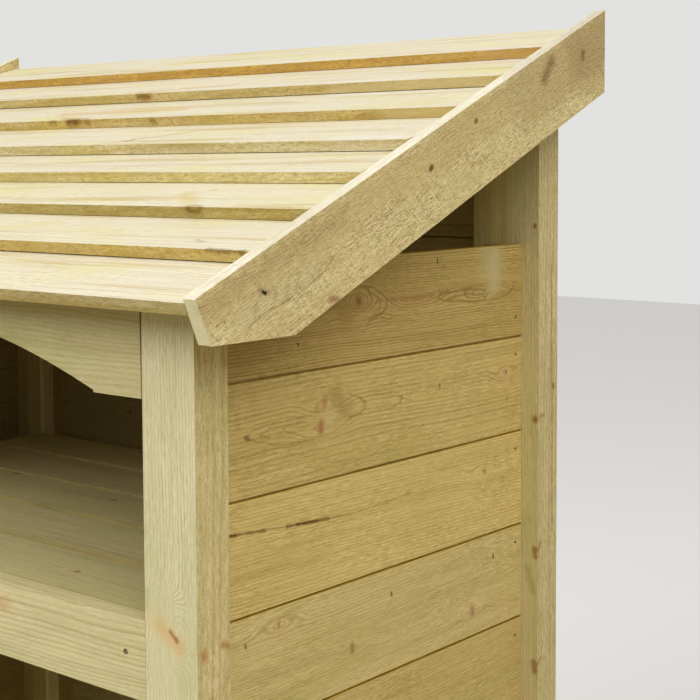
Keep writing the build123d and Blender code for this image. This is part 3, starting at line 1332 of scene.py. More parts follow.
BOARD_MARKS = {
    5: (
        board_mark((164, 577.5), (164.4, 572), 3.8, shade(192, 142, 98), 0.75, 0.7, 3.0, 0.4, (40, 34, 14),
                   DOWN),
        board_mark((28, 625.5), (28.6, 622.5), 1.3, shade(104, 84, 42), 0.85, 0.6, 1.0),
        board_mark((202, 627), (202.8, 623.5), 1.3, shade(100, 82, 40), 0.85, 0.6, 1.0),
        board_mark((-176, 626), (-175, 623.5), 1.4, shade(138, 110, 60), 0.7, 0.6, 1.0),
        board_mark((-133, 635), (-132.6, 632.5), 2.8, shade(188, 142, 92), 0.65, 0.8, 3.0, 0.3, (40, 30, 11),
                   DOWN),
        board_mark((-32, 588), (-31.6, 584), 3.4, shade(184, 134, 86), 0.7, 0.7, 3.0, 0.4, (40, 32, 12),
                   DOWN),
    ),
    6: (
        board_mark((-216, 726.5), (-150, 721.4), 1.3, shade(150, 112, 56), 0.85, 0.8, 2.0),
        board_mark((-212, 726.2), (-186, 724), 1.2, shade(120, 82, 38), 0.7, 0.8, 1.6),
        board_mark((-150, 721.4), (-126, 719.6), 0.9, shade(176, 138, 80), 0.6, 0.9, 2.4),
        board_mark((-122, 719.3), (-64, 715.7), 1.5, shade(150, 108, 54), 0.85, 0.8, 1.6),
        board_mark((-108, 718.4), (-80, 716.7), 1.3, shade(112, 72, 32), 0.75, 0.8, 1.2),
        board_mark((-60, 715.5), (-28, 713.6), 0.9, shade(172, 130, 72), 0.6, 0.9, 2.0),
        board_mark((-28, 713.6), (56, 717.6), 0.7, shade(172, 138, 78), 0.45, 0.9, 2.0),
        board_mark((54.6, 719), (56, 717.5), 2.6, shade(196, 156, 104), 0.6, 0.8, 3.0, 0.3, (40, 22, 9)),
        board_mark((185, 720), (187, 717.5), 2.8, shade(196, 146, 92), 0.7, 0.7, 3.0, 0.4, (40, 32, 12)),
        board_mark((188, 723), (197, 751), 3.0, shade(206, 182, 116), 0.4, 0.9, 6.0, 0.0),
    ),
    7: (
        board_mark((-69, 825), (-69.6, 819), 3.4, shade(196, 136, 92), 0.9, 0.9, 4.0, 0.3, (40, 30, 12)),
        board_mark((-74, 805), (-74, 799), 3.8, shade(192, 130, 86), 0.95, 0.9, 4.0, 0.4, (40, 34, 12)),
        board_mark((-66, 816), (-64, 804), 8.0, shade(232, 210, 148), 0.5, 1.0, 10.0, 0.0),
        board_mark((-54, 828), (-38, 812), 8.0, shade(170, 146, 82), 0.5, 1.0, 14.0, 0.0),
        *trail([(-98, 809.6), (-123, 809.6), (-143, 809.7), (-154.7, 805.2), (-143, 801.3)], 0.9, FIGURE,
               0.35),
        *trail([(-94.6, 808.4), (-116.6, 809.2), (-126, 806.7), (-118.3, 803.1)], 0.8, FIGURE, 0.3),
        *trail([(-88, 813.9), (-138, 813.5), (-162, 811.7), (-173, 805.7)], 0.8, FIGURE, 0.45),
        *trail([(-173, 805.7), (-160.5, 800.6), (-135, 794.3), (-105, 791.7), (-84.5, 791.6)], 0.8, FIGURE,
               0.4),
        *trail([(-173.5, 806.2), (-170, 804)], 1.7, shade(120, 92, 44), 0.6),
        *trail([(-34, 826.8), (-18, 821), (-11.4, 816.6), (-11.6, 810.4), (-18, 806.9), (-34.5, 805.6)], 0.9,
               FIGURE, 0.5),
        *trail([(-4.6, 822.4), (22.3, 819.1), (46, 813.7), (42, 808.8), (30, 805.4), (10.6, 805.6)], 0.8,
               FIGURE, 0.35),
        *trail([(45.5, 815.5), (42, 808.6)], 1.1, FIGURE, 0.5),
        board_mark((106.7, 818.5), (107, 816.5), 1.6, shade(150, 118, 68), 0.7, 0.7, 2.0),
        board_mark((224, 821), (224.3, 816), 4.6, shade(222, 180, 132), 0.6, 0.9, 3.0, 0.0, (40, 24, 11)),
        board_mark((226, 819.5), (226, 817.5), 1.2, shade(120, 84, 56), 0.8, 0.6, 1.0),
        board_mark((228, 791), (228, 789), 2.0, shade(192, 150, 100), 0.5, 0.8, 2.0),
    ),
    8: (
        board_mark((-20, 912.5), (-19, 911), 4.6, shade(186, 138, 80), 0.75, 0.9, 3.5, 0.55, (40, 44, 26),
                   DOWN),
        *trail([(5, 920.4), (16, 915), (23.2, 909.6), (22, 903), (14, 897), (-4.2, 892.7)], 1.0, FIGURE, 0.5),
        *trail([(-4, 919), (8, 914), (13, 908), (10, 901), (0, 897)], 0.8, FIGURE, 0.45),
        board_mark((30, 909.5), (95, 909), 3.4, shade(202, 156, 100), 0.45, 0.95, 6.0, 0.2),
        board_mark((108, 911), (122, 912), 1.6, shade(160, 128, 70), 0.5, 0.8, 4.0),
        board_mark((160, 907), (190, 906), 1.0, shade(182, 152, 92), 0.0, 0.5, 2.0, 0.0, (40, 62, 15), DOWN),
        *trail([(188, 908.9), (159, 910.8), (124, 910.3), (108, 908.5), (103.7, 905.7)], 1.0, FIGURE, 0.6),
        *trail([(103.7, 905.7), (112, 903), (131, 900.5), (166.3, 897.9), (210.3, 898.1)], 0.9, FIGURE, 0.6),
        *trail([(210.3, 898.1), (226, 900.5), (236, 904.7), (240, 909), (239, 914)], 0.9, FIGURE, 0.6),
        *trail([(188, 900.5), (180.7, 904.3), (152, 906.4), (132, 905.5), (120.7, 903.7)], 0.9, FIGURE, 0.5),
        board_mark((196, 958), (198, 932), 18.0, shade(226, 214, 158), 0.75, 0.9, 20.0, 0.0),
        board_mark((204, 940), (203, 912), 9.0, shade(230, 218, 164), 0.75, 0.9, 12.0, 0.0),
        board_mark((-46, 916), (-38, 899), 11.0, shade(198, 168, 96), 0.6, 1.0, 8.0, 0.0),
        board_mark((203, 910), (192, 899), 2.6, shade(228, 214, 158), 0.6, 1.0, 6.0, 0.0),
        board_mark((-105.5, 880.2), (-104.6, 879), 1.0, shade(70, 54, 20), 0.85, 0.5, 1.0),
        board_mark((103.5, 945), (103.9, 941), 1.0, shade(96, 78, 36), 0.8, 0.5, 1.0),
    ),
}
SLAT_MARKS = (
    Mark((300, -120, 1011), (330, -140, 1003), 8.0, shade(212, 190, 120), 0.65, 1.0, 10.0, 0.0),
    Mark((340, -156, 1000), (352, -160, 998), 7.0, shade(176, 150, 92), 0.55, 0.9, 7.0, 0.4),
    Mark((318, -106, 1015), (326, -104, 1015.5), 1.3, shade(196, 172, 110), 0.7, 0.8, 2.0),
    Mark((60, -20, 1060), (160, 30, 1076), 2.2, shade(200, 166, 104), 0.65, 0.9, 5.0),
    Mark((92, -8, 1064), (102, -2, 1066), 2.0, shade(150, 118, 72), 0.6, 0.8, 3.0),
    Mark((120, 14, 1072), (150, 24, 1075), 1.6, shade(190, 156, 104), 0.5, 0.8, 3.0),
    Mark((-120, 84, 1101), (80, 92, 1102.5), 8.0, shade(214, 178, 116), 0.6, 1.0, 16.0, 0.0),
    Mark((-76, 56, 1092), (-60, 56, 1091), 6.0, shade(160, 124, 72), 0.7, 0.9, 8.0),
    Mark((-100, 66, 1095), (-50, 60, 1093), 4.0, shade(190, 152, 92), 0.6, 0.9, 8.0),
    Mark((81, 45, 1087), (84, 45, 1086), 2.4, shade(150, 120, 66), 0.6, 0.8, 3.0),
    Mark((-60, 134, 1124), (100, 150, 1131), 4.0, shade(206, 168, 106), 0.6, 1.0, 12.0, 0.0),
    Mark((-30, 99, 1117), (10, 99, 1116), 4.0, shade(172, 134, 72), 0.6, 0.9, 5.0),
    Mark((90, -205, 976), (180, -180, 984), 9.0, shade(222, 208, 134), 0.45, 1.0, 14.0, 0.0),
    Mark((-380, 238, 1166), (-300, 246, 1167.5), 2.0, shade(214, 176, 112), 0.5, 0.9, 5.0),
    Mark((404, -206, 974), (420, -213, 971), 3.0, shade(166, 142, 84), 0.6, 0.9, 5.0),
    Mark((438, -228, 971), (477, -228, 969), 2.4, shade(120, 90, 34), 0.6, 0.9, 9.0, 0.0),
    Mark((345, -156, 1001.5), (352, -156, 1001.5), 5.5, shade(120, 98, 44), 0.6, 0.6, 3.0, 0.0),
    Mark((346, -156, 1002), (351, -156, 1002), 3.2, shade(214, 190, 122), 0.7, 0.6, 2.0, 0.0),
    Mark((-34, 128, 1121), (-16, 128, 1120.5), 4.6, shade(158, 116, 52), 0.7, 0.8, 6.0, 0.4),
    Mark((-80, 58, 1090.5), (-66, 58, 1090.2), 4.6, shade(144, 116, 58), 0.65, 0.9, 8.0, 0.4),
    Mark((-112, 58, 1091), (-104, 58, 1091), 3.6, shade(176, 146, 84), 0.6, 0.9, 6.0, 0.3),
    Mark((-49, 58, 1090), (-44, 58, 1089.8), 3.6, shade(170, 140, 78), 0.6, 0.9, 6.0, 0.3),
    Mark((63, 58.5, 1089), (68, 58.5, 1088), 3.6, shade(160, 130, 68), 0.6, 0.9, 5.0, 0.3),
    # These four pale streaks at the right ends of the slats' front edges are painted light.
    Mark((270, 129, 1118), (470, 129, 1119), 8.0, shade(238, 234, 222), 0.6, 1.0, 14.0, 0.0),
    Mark((400, 58, 1087), (470, 58, 1088), 8.0, shade(238, 232, 216), 0.5, 1.0, 12.0, 0.0),
    Mark((390, -13, 1056), (470, -13, 1057), 8.0, shade(240, 236, 224), 0.5, 1.0, 12.0, 0.0),
    Mark((410, 201, 1153), (470, 201, 1153), 8.0, shade(228, 222, 226), 0.5, 1.0, 12.0, 0.0),
)
BARGE_MARKS = (
    barge_mark((-296, 925), (110, 1097), 15, shade(224, 198, 136), 0.5, 0.6, 26.0, 0.0),
    barge_mark((-290, 930), (-130, 996), 7, shade(170, 132, 78), 0.25, 1.0, 26.0, 0.0),
    barge_mark((150, 1110), (225, 1143), 32, shade(206, 180, 126), 0.5, 0.6, 22.0, 0.0),
    barge_mark((264, 1150), (320, 1176), 34, shade(188, 160, 110), 0.65, 0.7, 18.0, 0.0),
    pale_tuft(-251, 916, 7),
    pale_tuft(-228, 926, 7),
    pale_tuft(-211, 931, 5),
    pale_tuft(-197, 936, 5),
    pale_tuft(-178, 945, 8),
    *torn_line((-238, 918), (-235, 930)),
    *torn_line((-216, 925), (-213, 937)),
    *torn_line((-201, 930), (-199, 941)),
    *torn_line((-188, 937), (-185, 950)),
    *trail(
        [(-249, 903), (-241, 914), (-227, 921), (-196, 931), (-167, 942), (-152, 952), (-141, 963)],
        0.9, shade(150, 122, 72), 0.3, BARGE_FACE, 1.0, 4.0,
    ),
    barge_mark((-231, 940), (-222, 938), 3.2, shade(140, 112, 66), 0.5, 0.9, 4.0, 0.0),
    barge_mark((-228, 938.8), (-225, 937), 1.6, shade(44, 30, 12), 0.95, 0.5, 2.4),
    barge_mark((-6.5, 1034), (-4, 1036), 2.6, shade(92, 72, 40), 0.8, 0.6, 3.0),
    barge_mark((64, 1078), (66, 1079), 2.2, shade(104, 82, 46), 0.7, 0.6, 3.0),
    barge_mark((257, 1148), (257.6, 1153), 4.2, shade(138, 108, 66), 0.55, 0.7, 4.0),
    barge_mark((183, 1122), (198, 1142), 6.5, shade(160, 108, 66), 0.5, 0.8, 8.0),
    barge_mark((-146, 927), (-136, 926), 3.0, shade(178, 128, 84), 0.6, 0.7, 4.0),
    barge_mark((-292, 905), (-300, 930), 1.6, shade(120, 100, 58), 0.5, 0.9, 5.0),
)
RAIL_MARKS = (Mark((160, -253.5, 640), (196, -253.5, 636), 6, shade(206, 166, 114), 0.5, 1.0, 10.0, 0.0),)


# The store's parts


@dataclass
class Posts:
    """The four posts, planed, with their tops cut to the slope. The rear right one has a drying crack."""

    arris: float = 2.2 * MM
    waver: float = 0.25 * MM
    crack_low: float = 400 * MM
    crack_high: float = 950 * MM
    crack_y: float = 280.3 * MM
    crack_half_width: float = 0.6 * MM
    crack_depth: float = 7 * MM
    crack_sway: float = 2.4 * MM
    planed: TimberFinish = TimberFinish(
        name="planed_post", early=shade(226, 217, 172), late=shade(192, 176, 122), green=shade(200, 200, 136),
        ring_depth=0.6, wander=8, fibre=0.15, mottle=0.5, fuzz=1.2, fuzz_slant=0, knot_share=0.12,
        marks=POST_MARKS,
    )

    def build(self, shop: Workshop) -> None:
        """Builds the four posts.

        Args:
            shop: The materials.
        """
        arris = (0.93, 0.89, 0.79)
        # The sides (edge) of every post are tinted warmer than the fronts: painted warm reflected light. The
        # rear posts' faces are tinted warmer than the front posts': painted warm shade.
        tints = {
            "front": Tints(face=(1.03, 1.04, 1.12), edge=(1.11, 1.0, 0.84), arris=arris),
            "rear": Tints(face=(1.02, 0.98, 0.9), edge=(1.06, 0.97, 0.85), arris=arris),
        }
        for number, (end, side) in enumerate([(end, side) for end in tints for side in SIDES]):
            node = f"post_{end}_{side}"
            stick = straight(
                node, UP, FRONT, arris=self.arris, stations=40, waver=self.waver, tints=tints[end],
                figure=Figure(70 + 9 * number, 34 + 11 * number, lean=0.006, seed=11 + number, ring=2.9),
                sawn_sides=(Side.EDGE,), cuts=[roof_cut()],
            )
            if node == "post_rear_right":
                stick.checks = [self._crack(stick.centre)]
            stand_in(node, [stick], "posts", shop.timber(self.planed))

    def _crack(self, middle: Vector) -> Check:
        """Lays out the drying crack.

        Args:
            middle: The middle of the post.

        Returns:
            The crack.
        """
        return Check(
            self.crack_low - middle.z, self.crack_high - middle.z, middle.y - self.crack_y,
            self.crack_half_width, self.crack_depth, self.crack_sway,
        )


@dataclass(frozen=True)
class Wall:
    """One boarded wall: the ways its boards run and face, its nailed ends, and each board's look."""

    node: str
    nails: str
    along: Vector
    out: Vector
    nailed_ends: tuple[int, ...]
    stations: int
    figures: tuple[Figure, ...]
    tones: tuple[Colour, ...]


@dataclass
class BoardedWalls:
    """The horizontal boards of the sides and the back, with a nail hole at each fixing."""

    arris: float = 1.8 * MM
    waver: float = 0.45 * MM
    top_tongue: float = 0.05 * MM
    nail_from_end: float = 12 * MM
    nail_from_top: float = 10 * MM
    nail_levels: tuple[float, float] = (19.5 * MM, 82 * MM)
    nail_radius: float = 1.9 * MM
    nail_depth: float = 2.0 * MM
    most_boards: int = 12
    side_stations: int = 22
    back_stations: int = 24
    left_seeds: tuple[int, int] = (60, 20)
    back_seeds: tuple[int, int] = (80, 40)
    planed: TimberFinish = TimberFinish(
        name="planed_board", early=shade(227, 202, 130), late=shade(176, 146, 78), green=shade(192, 178, 98),
        ring_depth=0.52, wander=22, fibre=0.22, specks=0.4, mottle=0.4, relief=1.5, knot_share=0.25,
        roughness=0.6,
    )
    ring_depths: dict[int, float] = field(default_factory=lambda: {7: 0.6, 8: 0.9})
    right_figures: tuple[Figure, ...] = (
        Figure(-90, 24, 0.01, 31, 3.4),
        Figure(110, 30, -0.01, 32, 2.8),
        Figure(-100, 20, 0.02, 33, 3.6),
        Figure(95, 26, -0.02, 34, 3.0),
        Figure(-110, 30, 0.01, 35, 3.2),
        Figure(100, 24, 0.015, 36, 2.7),
        Figure(-105, 30, -0.02, 37, 3.0),
        Figure(-95, 26, 0.012, 38, 4.2),
        Figure(104, 30, -0.012, 39, 2.7),
    )
    right_tones: tuple[Colour, ...] = (
        (0.98, 0.98, 0.98),
        (1.0, 1.0, 1.02),
        (0.97, 0.96, 0.94),
        (1.0, 1.0, 1.0),
        (0.96, 0.95, 0.95),
        (1.05, 1.08, 1.2),
        (1.1, 1.1, 1.08),
        (1.0, 0.98, 0.95),
        # The top board is darker than the rest: painted shade under the barge board and the roof's overhang.
        (0.87, 0.82, 0.75),
    )

    def build(self, shop: Workshop) -> None:
        """Builds both sides and the back.

        Args:
            shop: The materials.
        """
        plain = shop.timber(self.planed)
        materials = [plain]
        for number, marks in BOARD_MARKS.items():
            depth = self.ring_depths.get(number, self.planed.ring_depth)
            name = f"planed_board_{number}"
            marked = replace(self.planed, name=name, ring_depth=depth, knot_share=0.0, marks=marks)
            materials.append(shop.timber(marked))
        right = Wall(
            "side_boards_right", "side_nails_right", along=-FRONT, out=RIGHT, nailed_ends=(1,),
            stations=self.side_stations, figures=self.right_figures, tones=self.right_tones,
        )
        figures, tones = self._drawn(*self.left_seeds)
        left = Wall(
            "side_boards_left", "side_nails_left", along=FRONT, out=-RIGHT, nailed_ends=(-1,),
            stations=self.side_stations, figures=figures, tones=tones,
        )
        figures, tones = self._drawn(*self.back_seeds)
        back = Wall(
            "back_boards", "back_nails", along=-RIGHT, out=-FRONT, nailed_ends=(-1, 1),
            stations=self.back_stations, figures=figures, tones=tones,
        )
        self._wall(right, materials, shop.steel)
        self._wall(left, [plain], shop.steel)
        self._wall(back, [plain], shop.steel)

    def _drawn(self, figure_seed: int, tone_seed: int) -> tuple[tuple[Figure, ...], tuple[Colour, ...]]:
        """Draws the looks of a wall's boards by their seeds.

        Args:
            figure_seed: The first board's seed for its figure.
            tone_seed: The first board's seed for its tone.

        Returns:
            The boards' figures, and their tones.
        """
        numbers = range(self.most_boards)
        figures = tuple(Figure.drawn(figure_seed + number) for number in numbers)
        return figures, tuple(stick_tone(tone_seed + number) for number in numbers)

    def _wall(self, wall: Wall, materials: list[Material], steel: Material) -> None:
        """Builds the boards of one wall, and its nails.

        Args:
            wall: The wall.
            materials: The plain material, and one for each board with marks where the wall has such boards.
            steel: The nails' material.
        """
        low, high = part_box(wall.node)
        length, thick = abs((high - low).dot(wall.along)), abs((high - low).dot(wall.out))
        marked = list(BOARD_MARKS)[: len(materials) - 1]
        boards = []
        for number in range(ceil((high.z - low.z) / BOARD_PITCH - TOUCH)):
            bottom = low.z + number * BOARD_PITCH
            width = min(BOARD_WIDTH, high.z - bottom)
            centre = (low + high) / 2
            centre.z = bottom + width / 2
            nail_along = length / 2 - self.nail_from_end
            holes = [
                Hole(end * nail_along, level - width / 2, self.nail_radius, self.nail_depth)
                for end in wall.nailed_ends
                for level in self.nail_levels
                if level < width - self.nail_from_top
            ]
            board = Board(
                centre, wall.along, wall.out, length, width, thick, arris=self.arris, stations=wall.stations,
                waver=self.waver, figure=wall.figures[number], tints=board_tints(wall.tones[number]),
                dress=1 + marked.index(number) if number in marked else 0, cuts=[roof_cut()], holes=holes,
            )
            boards.append(board)
        boards[-1].tongue = self.top_tongue
        stand_in(wall.node, boards, "side_boards", *materials)
        heads(wall.nails, boards, steel)


@dataclass
class InnerFraming:
    """The sawn cleats, rafters and bearers that carry the boards."""

    arris: float = 0.8 * MM
    rafter_thick: float = 28 * MM
    first_seed: int = 101
    rafter_seeds: tuple[int, int] = (143, 146)
    stations: int = 14
    pith_spread: float = 30.0
    sawn: TimberFinish = TimberFinish(
        name="sawn_batten", early=shade(200, 182, 124), late=shade(160, 138, 80), ring_depth=0.5, fibre=0.1,
        fuzz=0.28, fuzz_slant=70, knot_share=0.3, relief=1.6, roughness=0.78,
    )

    def build(self, shop: Workshop) -> None:
        """Builds every cleat, rafter and bearer.

        Args:
            shop: The materials.
        """
        material = shop.timber(self.sawn)
        seeds = count(self.first_seed)
        for (side, sign), rafter_seed in zip(SIDES.items(), self.rafter_seeds):
            for end in ("front", "rear"):
                self._batten(f"cleat_{end}_{side}", UP, RIGHT * -sign, next(seeds), material)
            self._batten(f"back_cleat_{side}", UP, FRONT, next(seeds), material)
            self._rafter(f"rafter_{side}", RIGHT * sign, rafter_seed, material)
        for deck in ("shelf", "floor"):
            self._batten(f"{deck}_back_rail", RIGHT, -UP, next(seeds), material)
            for place in ("middle", "left", "right"):
                self._batten(f"{deck}_bearer_{place}", FRONT, -UP, next(seeds), material)

    def _batten(self, node: str, along: Vector, out: Vector, seed: int, material: Material) -> None:
        """Builds one square batten.

        Args:
            node: The batten's node.
            along: The way that its grain runs.
            out: The way that its face looks.
            seed: The seed of its look.
            material: Its material.
        """
        stick = straight(
            node, along, out, arris=self.arris, stations=self.stations,
            figure=Figure.drawn(seed, self.pith_spread), tints=batten_tints(stick_tone(seed)),
            cuts=[roof_cut()] if along is UP else [],
        )
        stand_in(node, [stick], "inner_framing", material)

    def _rafter(self, node: str, out: Vector, seed: int, material: Material) -> None:
        """Builds one rafter, plumb at both ends.

        Args:
            node: The rafter's node.
            out: The way that its face looks.
            seed: The seed of its figure.
            material: Its material.
        """
        low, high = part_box(node)
        run = (high.y - low.y) / cos(ROOF_ANGLE)
        top_end = Vector(((low.x + high.x) / 2, high.y, high.z))
        middle = top_end - UP_SLOPE * run / 2 - OFF_SLOPE * self.rafter_thick / 2
        length = run + 2 * self.rafter_thick
        plumb_cuts = [(Vector((0, high.y, 0)), -FRONT), (Vector((0, low.y, 0)), FRONT)]
        stick = Stick(
            middle, UP_SLOPE, out, length, self.rafter_thick, high.x - low.x, arris=self.arris, stations=16,
            figure=Figure.drawn(seed, self.pith_spread), cuts=plumb_cuts,
        )
        stand_in(node, [stick], "inner_framing", material)


@dataclass
class Roof:
    """The lapped slats, pale on top and darker at their sawn edges."""

    slat_width: float = 95 * MM
    slat_thick: float = 10.5 * MM
    arris: float = 0.9 * MM
    waver: float = 0.5 * MM
    pith_spread: float = 70.0
    figure_seed: int = 120
    nail_x: float = 422.8 * MM
    nail_y: float = -254.1 * MM
    nail_radius: float = 2.2 * MM
    nail_depth: float = 1.5 * MM
    planed: TimberFinish = TimberFinish(
        name="planed_slat", early=shade(226, 218, 192), late=shade(200, 178, 118), green=shade(222, 212, 146),
        end_grain=shade(226, 212, 166), ring_depth=0.5, wander=20, fibre=0.12, bands=0.75, mottle=0.7,
        fuzz=1.5, fuzz_slant=90, knot_share=0.0, relief=0.7, roughness=0.6, marks=SLAT_MARKS,
    )
    edge_tints: tuple[Colour, ...] = (
        (0.80, 0.73, 0.49),
        (0.77, 0.63, 0.30),
        (0.63, 0.54, 0.26),
        (0.86, 0.79, 0.50),
        (0.82, 0.77, 0.57),
        (0.74, 0.62, 0.33),
        (0.75, 0.65, 0.36),
        (0.74, 0.51, 0.18),
    )

    def build(self, shop: Workshop) -> None:
        """Builds the slats from the eave up.

        Args:
            shop: The materials.
        """
        for number, edge in enumerate(self.edge_tints, start=1):
            slat = self._slat(number, edge)
            stand_in(f"roof_slat_{number}", [slat], "roof_slats", shop.timber(self.planed))
            if slat.holes:
                heads("slat_nails", [slat], shop.steel)

    def _slat(self, number: int, edge: Colour) -> Stick:
        """Lays out one slat at the tilt that its CAD node has.

        Args:
            number: The slat's number, from the eave up.
            edge: The tint of its sawn edges.

        Returns:
            The slat.
        """
        low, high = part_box(f"roof_slat_{number}")
        diagonal = hypot(self.slat_width, self.slat_thick)
        tilt = asin((high.z - low.z) / diagonal) - atan(self.slat_thick / self.slat_width)
        lighter, bluer = 0.02, 0.03
        luck = noise.cell_vector(Vector((number * 1.9 + 0.2, 4.5, 6.5)))
        level = 1 + luck.x * lighter
        tints = Tints(
            face=(level, level, level * (1 + luck.z * bluer)), back=(0.82, 0.78, 0.66), edge=edge,
            end=(0.9, 0.85, 0.7), arris=tuple((channel + 1.0) / 2 for channel in edge),
        )
        slat = Stick(
            (low + high) / 2, -RIGHT, Vector((0, -sin(tilt), cos(tilt))), high.x - low.x, self.slat_width,
            self.slat_thick, arris=self.arris, stations=36, waver=self.waver, tints=tints,
            figure=Figure.drawn(self.figure_seed + number, self.pith_spread),
            sawn_sides=(Side.EDGE, Side.BACK),
        )
        if number == 1:
            nail = ((low.y + high.y) / 2 - self.nail_y) / cos(tilt), self.nail_radius, self.nail_depth
            slat.holes = [Hole(end * self.nail_x, *nail) for end in (-1, 1)]
        return slat


@dataclass
class BargeBoards:
    """The rough-sawn boards up each side of the roof, with a planed front end."""

    width: float = 79 * MM
    arris: float = 0.7 * MM
    waver: float = 0.4 * MM
    sawn: TimberFinish = TimberFinish(
        name="sawn_barge", early=shade(250, 230, 169), late=shade(196, 162, 103), green=shade(220, 204, 138),
        end_grain=shade(214, 208, 172), ring_depth=0.12, fibre=0.14, mottle=0.4, fuzz=1.6, fuzz_slant=66,
        knot_share=0.0, relief=2.2, roughness=0.82, marks=BARGE_MARKS,
    )

    def build(self, shop: Workshop) -> None:
        """Builds both barge boards.

        Args:
            shop: The materials.
        """
        tints = Tints(edge=(0.9, 1.02, 1.6), end=(1.34, 1.42, 1.55), arris=(1.04, 1.04, 1.02))
        for side, sign in SIDES.items():
            node = f"barge_board_{side}"
            low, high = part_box(node)
            run = (high.y - low.y) / cos(ROOF_ANGLE)
            length = run + self.width
            rear_top = Vector(((low.x + high.x) / 2, high.y, high.z))
            middle = rear_top - UP_SLOPE * (run - length / 2) - OFF_SLOPE * self.width / 2
            plumb_and_level = [(Vector((0, high.y, 0)), -FRONT), (Vector((0, 0, low.z)), -UP)]
            stick = Stick(
                middle, UP_SLOPE, RIGHT * sign, length, self.width, high.x - low.x, arris=self.arris,
                end_arris=self.arris, stations=60, waver=self.waver, tints=tints, cuts=plumb_and_level,
                figure=Figure(-46 * sign, 40, lean=0.02, seed=150 + sign), sawn_sides=(Side.FACE, Side.BACK),
            )
            stand_in(node, [stick], "barge_boards", shop.timber(self.sawn))


@dataclass
class ArchedFascia:
    """The board under the eave, with its shallow arch. A thin gap opens at each end, towards the top."""

    end_flat: float = 60.7 * MM
    notch: float = 2 * MM
    rise: float = 57 * MM
    top_gap: float = 1.3 * MM
    arris: float = 0.7 * MM
    waver: float = 0.2 * MM
    planed: TimberFinish = TimberFinish(
        name="planed_fascia", early=shade(209, 198, 149), late=shade(180, 163, 108), ring_depth=0.55,
        wander=30, fibre=0.1, mottle=0.5, knot_share=0.1,
    )

    def build(self, shop: Workshop) -> None:
        """Builds the fascia.

        Args:
            shop: The materials.
        """
        low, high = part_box("arched_fascia")
        stick = ArchedStick(
            (low + high) / 2, RIGHT, FRONT, high.x - low.x, high.z - low.z, high.y - low.y, arris=self.arris,
            stations=40, waver=self.waver, figure=Figure(-70, 52, lean=0.01, seed=170),
            tints=Tints(arris=(1.08, 1.1, 1.25)), end_flat=self.end_flat, notch=self.notch, rise=self.rise,
            top_gap=self.top_gap,
        )
        stand_in("arched_fascia", [stick], "fascia", shop.timber(self.planed))


@dataclass
class Deck:
    """The shelf or the floor: a front rail with rounded arrises, and the slats behind it."""

    name: str
    seed: int
    slat_width: float = 90 * MM
    slat_count: int = 5
    slat_arris: float = 0.9 * MM
    clearance: float = 1 * MM
    rail_arris: float = 3.0 * MM
    rail_end_arris: float = 0.3 * MM
    rail_waver: float = 0.2 * MM
    screw_from_post: float = 25.1 * MM
    screw_level: float = 38.2 * MM
    screw_radius: float = 3.0 * MM
    screw_depth: float = 1.8 * MM
    rail_finish: TimberFinish = TimberFinish(
        name="planed_rail", early=shade(226, 213, 165), late=shade(174, 154, 100), green=shade(186, 186, 130),
        ring_depth=0.6, wander=16, fibre=0.09, mottle=0.45, knot_share=0.0, marks=RAIL_MARKS,
    )
    slat_finish: TimberFinish = TimberFinish(
        name="sawn_deck_slat", early=shade(204, 190, 136), late=shade(166, 146, 90), ring_depth=0.5,
        fibre=0.09, fuzz=0.18, fuzz_slant=75, knot_share=0.3, roughness=0.74,
    )

    def build(self, shop: Workshop) -> None:
        """Builds the rail and the slats.

        Args:
            shop: The materials.
        """
        node = f"{self.name}_front_rail"
        rail = straight(
            node, RIGHT, FRONT, arris=self.rail_arris, end_arris=self.rail_end_arris, stations=40,
            waver=self.rail_waver, figure=Figure(48, 38, lean=0.012, seed=self.seed),
            tints=Tints(arris=(1.0, 1.0, 0.98)),
        )
        along, across = rail.length / 2 - self.screw_from_post, self.screw_level - rail.width / 2
        rail.holes = [Hole(end * along, across, self.screw_radius, self.screw_depth) for end in (-1, 1)]
        stand_in(node, [rail], "rails", shop.timber(self.rail_finish))
        heads(f"{self.name}_screws", [rail], shop.steel)
        self._slats(shop.timber(self.slat_finish), rail.length / 2 - self.clearance)

    def _slats(self, material: Material, short_half: float) -> None:
        """Builds the slats, of which the first and the last pass between the posts.

        Args:
            material: The slats' material.
            short_half: Half the length of the first and the last slat.
        """
        node = f"{self.name}_slats"
        low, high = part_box(node)
        pitch = (high.y - low.y - self.slat_width) / (self.slat_count - 1)
        sticks = []
        for number in range(self.slat_count):
            half = short_half if number in (0, self.slat_count - 1) else high.x
            centre = Vector((0, low.y + self.slat_width / 2 + number * pitch, (low.z + high.z) / 2))
            tints = batten_tints(stick_tone(self.seed + number))
            stick = Stick(
                centre, RIGHT, UP, 2 * half, self.slat_width, high.z - low.z, arris=self.slat_arris,
                stations=22, figure=Figure.drawn(self.seed + 10 + number), tints=tints,
            )
            sticks.append(stick)
        stand_in(node, sticks, "deck_slats", material)


# The studio


def seen_rays(wire: Wiring) -> NodeSocket:
    """Finds the rays that show the surroundings, to the camera or in metal and glass.

    Args:
        wire: The wiring of a material or the world.

    Returns:
        One for such a ray, and 0 for light that falls on the store.
    """
    rays = wire.add("LightPath").outputs
    mirrored = wire.math("MAXIMUM", rays["Is Glossy Ray"], rays["Is Transmission Ray"])
    return wire.math("MAXIMUM", rays["Is Camera Ray"], mirrored)


@dataclass(frozen=True)
class Lamp:
    """A soft square lamp, in metres and watts."""

    name: str
    place: Place
    size: float
    watts: float

    def hang(self, aim: Vector) -> None:
        """Hangs the lamp.

        Args:
            aim: The point that it looks at.
        """
        light = bpy.data.lights.new(self.name, "AREA")
        light.shape = "SQUARE"
        light.size = self.size
        light.energy = self.watts
        lamp = bpy.data.objects.new(self.name, light)
        lamp.location = self.place
        lamp.rotation_mode = "QUATERNION"
        lamp.rotation_quaternion = (aim - Vector(self.place)).to_track_quat("-Z", "Y")
        bpy.context.scene.collection.objects.link(lamp)


